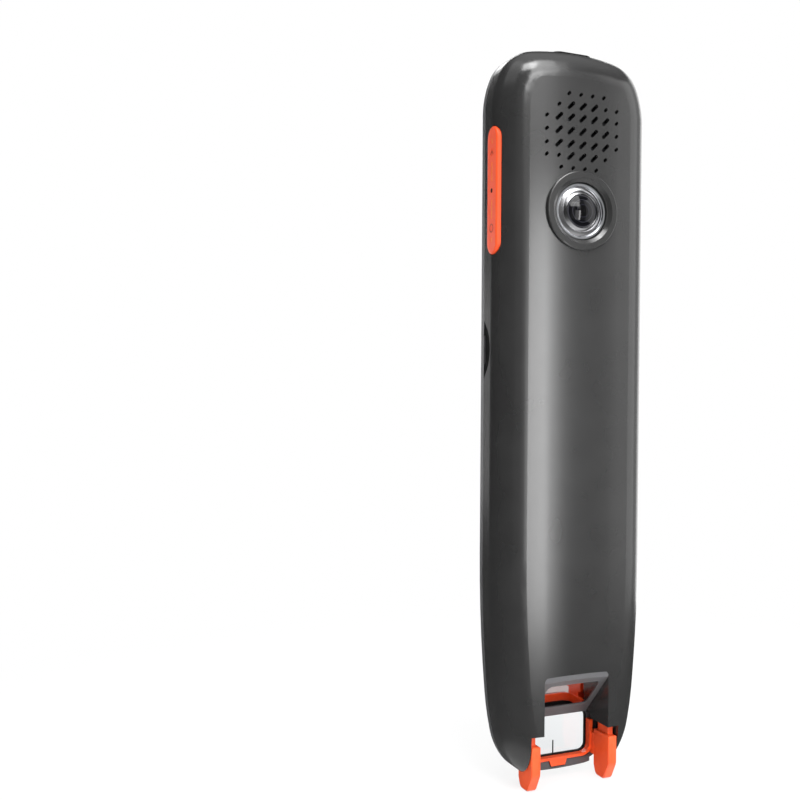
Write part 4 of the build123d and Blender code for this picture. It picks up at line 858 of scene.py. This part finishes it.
def group(name, pieces):
    """Joins pieces into one that rides on the housing."""
    bpy.ops.object.select_all(action="DESELECT")
    for piece in pieces:
        piece.select_set(True)
    bpy.context.view_layer.objects.active = pieces[0]
    if len(pieces) > 1:
        bpy.ops.object.join()
    joined = bpy.context.object
    joined.name = name
    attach(joined, "housing")


card_left, card_right = -14.35, 14.35
card_edge = 0.22
# Corners of a card's edge and of its fill: three small, and a larger one at the upper left
edge_corner, edge_lead, fill_corner, fill_lead = 2.5, 5.9, 2.3, 5.7
# Each card: its name, lowest and highest z, its colours from lower left to upper right, and its ring
cards = (
    ("voice", 135.45, 157.7, ((0.1, "00f2ff"), (0.55, "16d2ff"), (0.9, "5cbcff")), (9, 154, 6)),
    ("notes", 112.3, 134.5, ((0.1, "c2dcff"), (0.5, "f298ff"), (0.9, "c48cff")), (-1, 115, 5)),
    ("reading", 88.9, 111.16, ((0.1, "10c4ff"), (0.5, "4fe6d6"), (0.9, "84ff90")), (9, 107, 6)),
    ("answers", 65.77, 87.95, ((0.08, "c6ffcf"), (0.4, "f8e088"), (0.65, "ffb87c"), (0.95, "f87480")),
     (-8, 84, 5)),
    ("scanning", 32.07, 64.67, ((0.1, "64e8c2"), (0.5, "40b8ee"), (0.9, "219aff")), (12, 36, 6)),
)
edge_white = lit_pixels("lit_card_edge", ((0.0, "d8f2ff"), (1.0, "ffffff")), (0, 32), (0, 158))
edges = []
for name, low, high, stops, ring in cards:
    edges.append(tile(
        f"edge_{name}", card_left, card_right, low, high, edge_corner, 0, edge_white, lead_radius=edge_lead,
    ))
    fill = lit_pixels(f"lit_card_{name}", stops, (card_left, low), (card_right, high), ring)
    group(f"card_{name}", [tile(
        f"fill_{name}", card_left + card_edge, card_right - card_edge, low + card_edge, high - card_edge,
        fill_corner, 1, fill, lead_radius=fill_lead,
    )])
group("card_edges", edges)

# Dark bars stand for the cards' labels.
label_ink = lit_pixels("unlit_label_pixels", ((0.0, "0c1a20"), (1.0, "14202c")), (0, 32), (0, 158))
label_pale = lit_pixels("lit_small_label", ((0.0, "1f6f8c"), (1.0, "2a78a8")), (0, 32), (0, 50))
bars = []
for name, low, high in (("voice", 139.0, 154.2), ("notes", 115.9, 131.0), ("reading", 92.4, 107.7),
                        ("answers", 69.3, 84.4)):
    bars.append(tile(f"bar_{name}_0", -9.2, -7.7, low, high, 0.7, 2, label_ink))
    bars.append(tile(f"bar_{name}_1", -6.8, -5.6, low, low + 0.62 * (high - low), 0.55, 2, label_ink))
bars.append(tile("bar_scanning_0", 1.2, 4.0, 33.6, 47.2, 0.7, 2, label_ink))
group("label_bars", bars)
group("label_small_bars", [
    tile("small_bar_0", 5.9, 7.2, 33.6, 48.2, 0.6, 2, label_pale),
    tile("small_bar_1", 8.9, 10.2, 33.6, 39.0, 0.6, 2, label_pale),
])

# Voice card: a microphone and a pale disc with a sound's bars.
mic_blue = lit_pixels("lit_mic_blue", ((0.0, "4aa4f4"), (1.0, "78c4ff")), (0, 138), (9, 152))
pale_blue = lit_pixels("lit_pale_blue", ((0.0, "ffffff"), (1.0, "bfeaff")), (4, 138), (8, 145))
group("voice_microphone", [
    tile("mic_head", 0.6, 5.0, 146.4, 149.6, 1.6, 2, mic_blue),
    arc("mic_cradle", 3.3, 148.0, 2.9, 0.65, -90, 180, 2, mic_blue),
    tile("mic_stem", 6.0, 8.4, 147.65, 148.35, 0.2, 2, mic_blue),
    tile("mic_foot", 8.2, 9.0, 146.0, 150.0, 0.38, 2, mic_blue),
])
group("voice_disc", [tile("disc_plate", 3.0, 9.0, 139.4, 145.4, 2.99, 3, pale_blue)])
group("voice_bars", [
    tile(f"sound_{n}", 6.0 - h, 6.0 + h, z - 0.3, z + 0.3, 0.28, 4, mic_blue)
    for n, (z, h) in enumerate(((140.8, 0.6), (141.9, 1.7), (143.0, 1.1), (144.1, 0.5)))
])

# Notes card: two pink sheets with ruled lines, and a pencil.
sheet_pale = lit_pixels("lit_sheet_pale", ((0.0, "ffb4d4"), (1.0, "ffe8ee")), (6, 117), (-1, 127))
sheet_pink = lit_pixels("lit_sheet_pink", ((0.0, "ff4f9c"), (1.0, "ff8cc0")), (9, 116), (0, 127))
pencil_pink = lit_pixels("lit_pencil", ((0.0, "f0248c"), (1.0, "d80c74")), (1, 114), (4, 118))
white_pixels = lit_pixels("lit_white", ((0.0, "ffffff"), (1.0, "f4fbff")), (0, 32), (0, 158))
group("notes_back_sheet", [tile("back_sheet", -1.5, 5.5, 118.2, 128.2, 1.0, 2, sheet_pale)])
group("notes_sheet", [tile("sheet", 0.2, 9.2, 116.6, 127.0, 1.2, 3, sheet_pink)])
group("notes_lines", [
    tile(f"line_{row}_{n}", 1.6 + 2.1 * row, 2.4 + 2.1 * row, low, high, 0.38, 4, white_pixels)
    for row in range(3)
    for n, (low, high) in enumerate(((118.4, 121.0 + row * 0.3), (122.4, 125.4)))
])
group("notes_pencil", [
    tile("pencil_body", -0.6, 5.2, 115.6, 117.0, 0.5, 5, pencil_pink, lean=40),
])

# Reading card: an open page with a focus square over it.
page_teal = lit_pixels("lit_page_teal", ((0.0, "18a8c0"), (1.0, "40d8a0")), (0, 92), (9, 102))
pale_green = lit_pixels("lit_pale_green", ((0.0, "a8f4e4"), (1.0, "f0fff4")), (10, 98), (5, 104))
group("reading_page", [tile("page", 0.0, 9.0, 91.8, 101.4, 1.4, 2, page_teal)])
group("reading_lines", [
    tile("read_line_0", 1.4, 2.3, 93.4, 99.4, 0.42, 3, white_pixels),
    tile("read_line_1", 3.4, 4.3, 93.4, 97.2, 0.42, 3, white_pixels),
    tile("read_line_2", 5.4, 6.3, 93.4, 95.6, 0.42, 3, white_pixels),
])
group("reading_square", [tile("square", 4.3, 10.4, 98.2, 104.3, 1.2, 4, pale_green)])
group("reading_focus", [
    arc(f"focus_{n}", 7.35, 101.25, 1.8, 0.5, 20 + 90 * n, 50, 5, page_teal) for n in range(4)
] + [tile("focus_spot", 6.7, 8.0, 100.6, 101.9, 0.62, 5, page_teal)])

# Answers card: a speech bubble with lines, and a pale disc with three dots.
bubble_orange = lit_pixels("lit_bubble_orange", ((0.0, "ff8420"), (1.0, "ff4420")), (0, 71), (7, 82))
pale_orange = lit_pixels("lit_pale_orange", ((0.0, "ffd4cc"), (1.0, "ff9468")), (9, 68), (3, 75))
dot_red = lit_pixels("lit_dot_red", ((0.0, "e8401c"), (1.0, "f05028")), (5, 69), (7, 74))
group("answers_bubble", [
    tile("bubble", -0.8, 6.8, 72.2, 82.8, 1.3, 2, bubble_orange),
    tile("bubble_tail", 5.2, 8.4, 79.2, 80.9, 0.3, 2, bubble_orange, lean=-38),
])
group("answers_lines", [
    tile("answer_line_0", 0.8, 2.0, 74.0, 81.0, 0.58, 3, white_pixels),
    tile("answer_line_1", 3.2, 4.4, 76.6, 81.0, 0.58, 3, white_pixels),
])
group("answers_disc", [tile("answer_disc", 2.9, 9.3, 68.6, 75.0, 3.19, 4, pale_orange)])
group("answers_dots", [
    tile(f"answer_dot_{n}", 5.7, 6.5, 69.9 + 1.5 * n, 70.7 + 1.5 * n, 0.38, 5, dot_red) for n in range(3)
])

# Scanning card: the clock, the status row, a ruled page and a focus square.
page_blue = lit_pixels("lit_page_blue", ((0.0, "30c8ff"), (1.0, "1c40ec")), (-1, 48), (9, 57))
pale_violet = lit_pixels("lit_pale_violet", ((0.0, "6c9cf8"), (1.0, "cfe0ff")), (10, 52), (5, 58))
group("scanning_page", [tile("scan_page", -0.6, 9.2, 48.0, 57.2, 1.4, 2, page_blue)])
group("scanning_lines", [
    tile(f"scan_line_{n}", 0.9 + 1.65 * n, 1.6 + 1.65 * n, 49.4, high, 0.33, 3, white_pixels)
    for n, high in enumerate((55.4, 53.0, 51.2))
])
group("scanning_square", [tile("scan_square", 4.0, 10.4, 52.2, 58.6, 1.1, 4, pale_violet)])
group("scanning_focus", [
    arc(f"scan_focus_{n}", 7.2, 55.4, 1.9, 0.5, 20 + 90 * n, 50, 5, white_pixels) for n in range(4)
] + [tile("scan_focus_bar", 7.0, 7.4, 53.9, 56.9, 0.18, 5, white_pixels)])
group("clock_figures", [figures("clock", "10:20", -5.7, -1.7, 33.5, 46.2, 2, label_ink)])
group("charge_figures", [figures("charge", "70%", -11.6, -9.9, 53.3, 57.6, 2, label_ink)])
group("status_marks", [
    tile("cell_wall", -12.0, -9.2, 46.4, 51.8, 0.6, 2, label_ink),
    tile("cell_tip", -11.0, -10.2, 51.9, 52.3, 0.15, 2, label_ink),
    tile("link_dot", -9.9, -9.3, 40.6, 41.2, 0.29, 2, label_ink),
    arc("link_near", -9.6, 40.9, 1.1, 0.3, 135, 90, 2, label_ink),
    arc("link_far", -9.6, 40.9, 2.0, 0.3, 135, 90, 2, label_ink),
] + [
    tile(f"level_{n}", -9.2 - height, -9.2, 33.6 + 0.85 * n, 34.1 + 0.85 * n, 0.12, 2, label_ink)
    for n, height in enumerate((0.9, 1.6, 2.3))
])
group("cell_space", [tile("cell_inside", -11.7, -9.5, 49.7, 51.4, 0.35, 3, lit_pixels(
    "lit_cell_space", ((0.0, "58cce0"), (1.0, "50c4e8")), (0, 49), (0, 52)))])

# Page marks under the cards.
mark_blue = lit_pixels("lit_page_mark", ((0.0, "1c9cff"), (1.0, "1464f0")), (-6, 28), (-2, 29))
mark_dim = lit_pixels("lit_page_mark_dim", ((0.0, "24607c"), (1.0, "1c4c90")), (0, 28), (5, 29))
group("page_mark", [tile("mark_lit", -6.0, -1.9, 27.8, 29.5, 0.84, 0, mark_blue)])
group("page_mark_dim", [
    tile("mark_dim_0", 0.05, 1.75, 27.8, 29.5, 0.84, 0, mark_dim),
    tile("mark_dim_1", 3.8, 5.5, 27.8, 29.5, 0.84, 0, mark_dim),
])
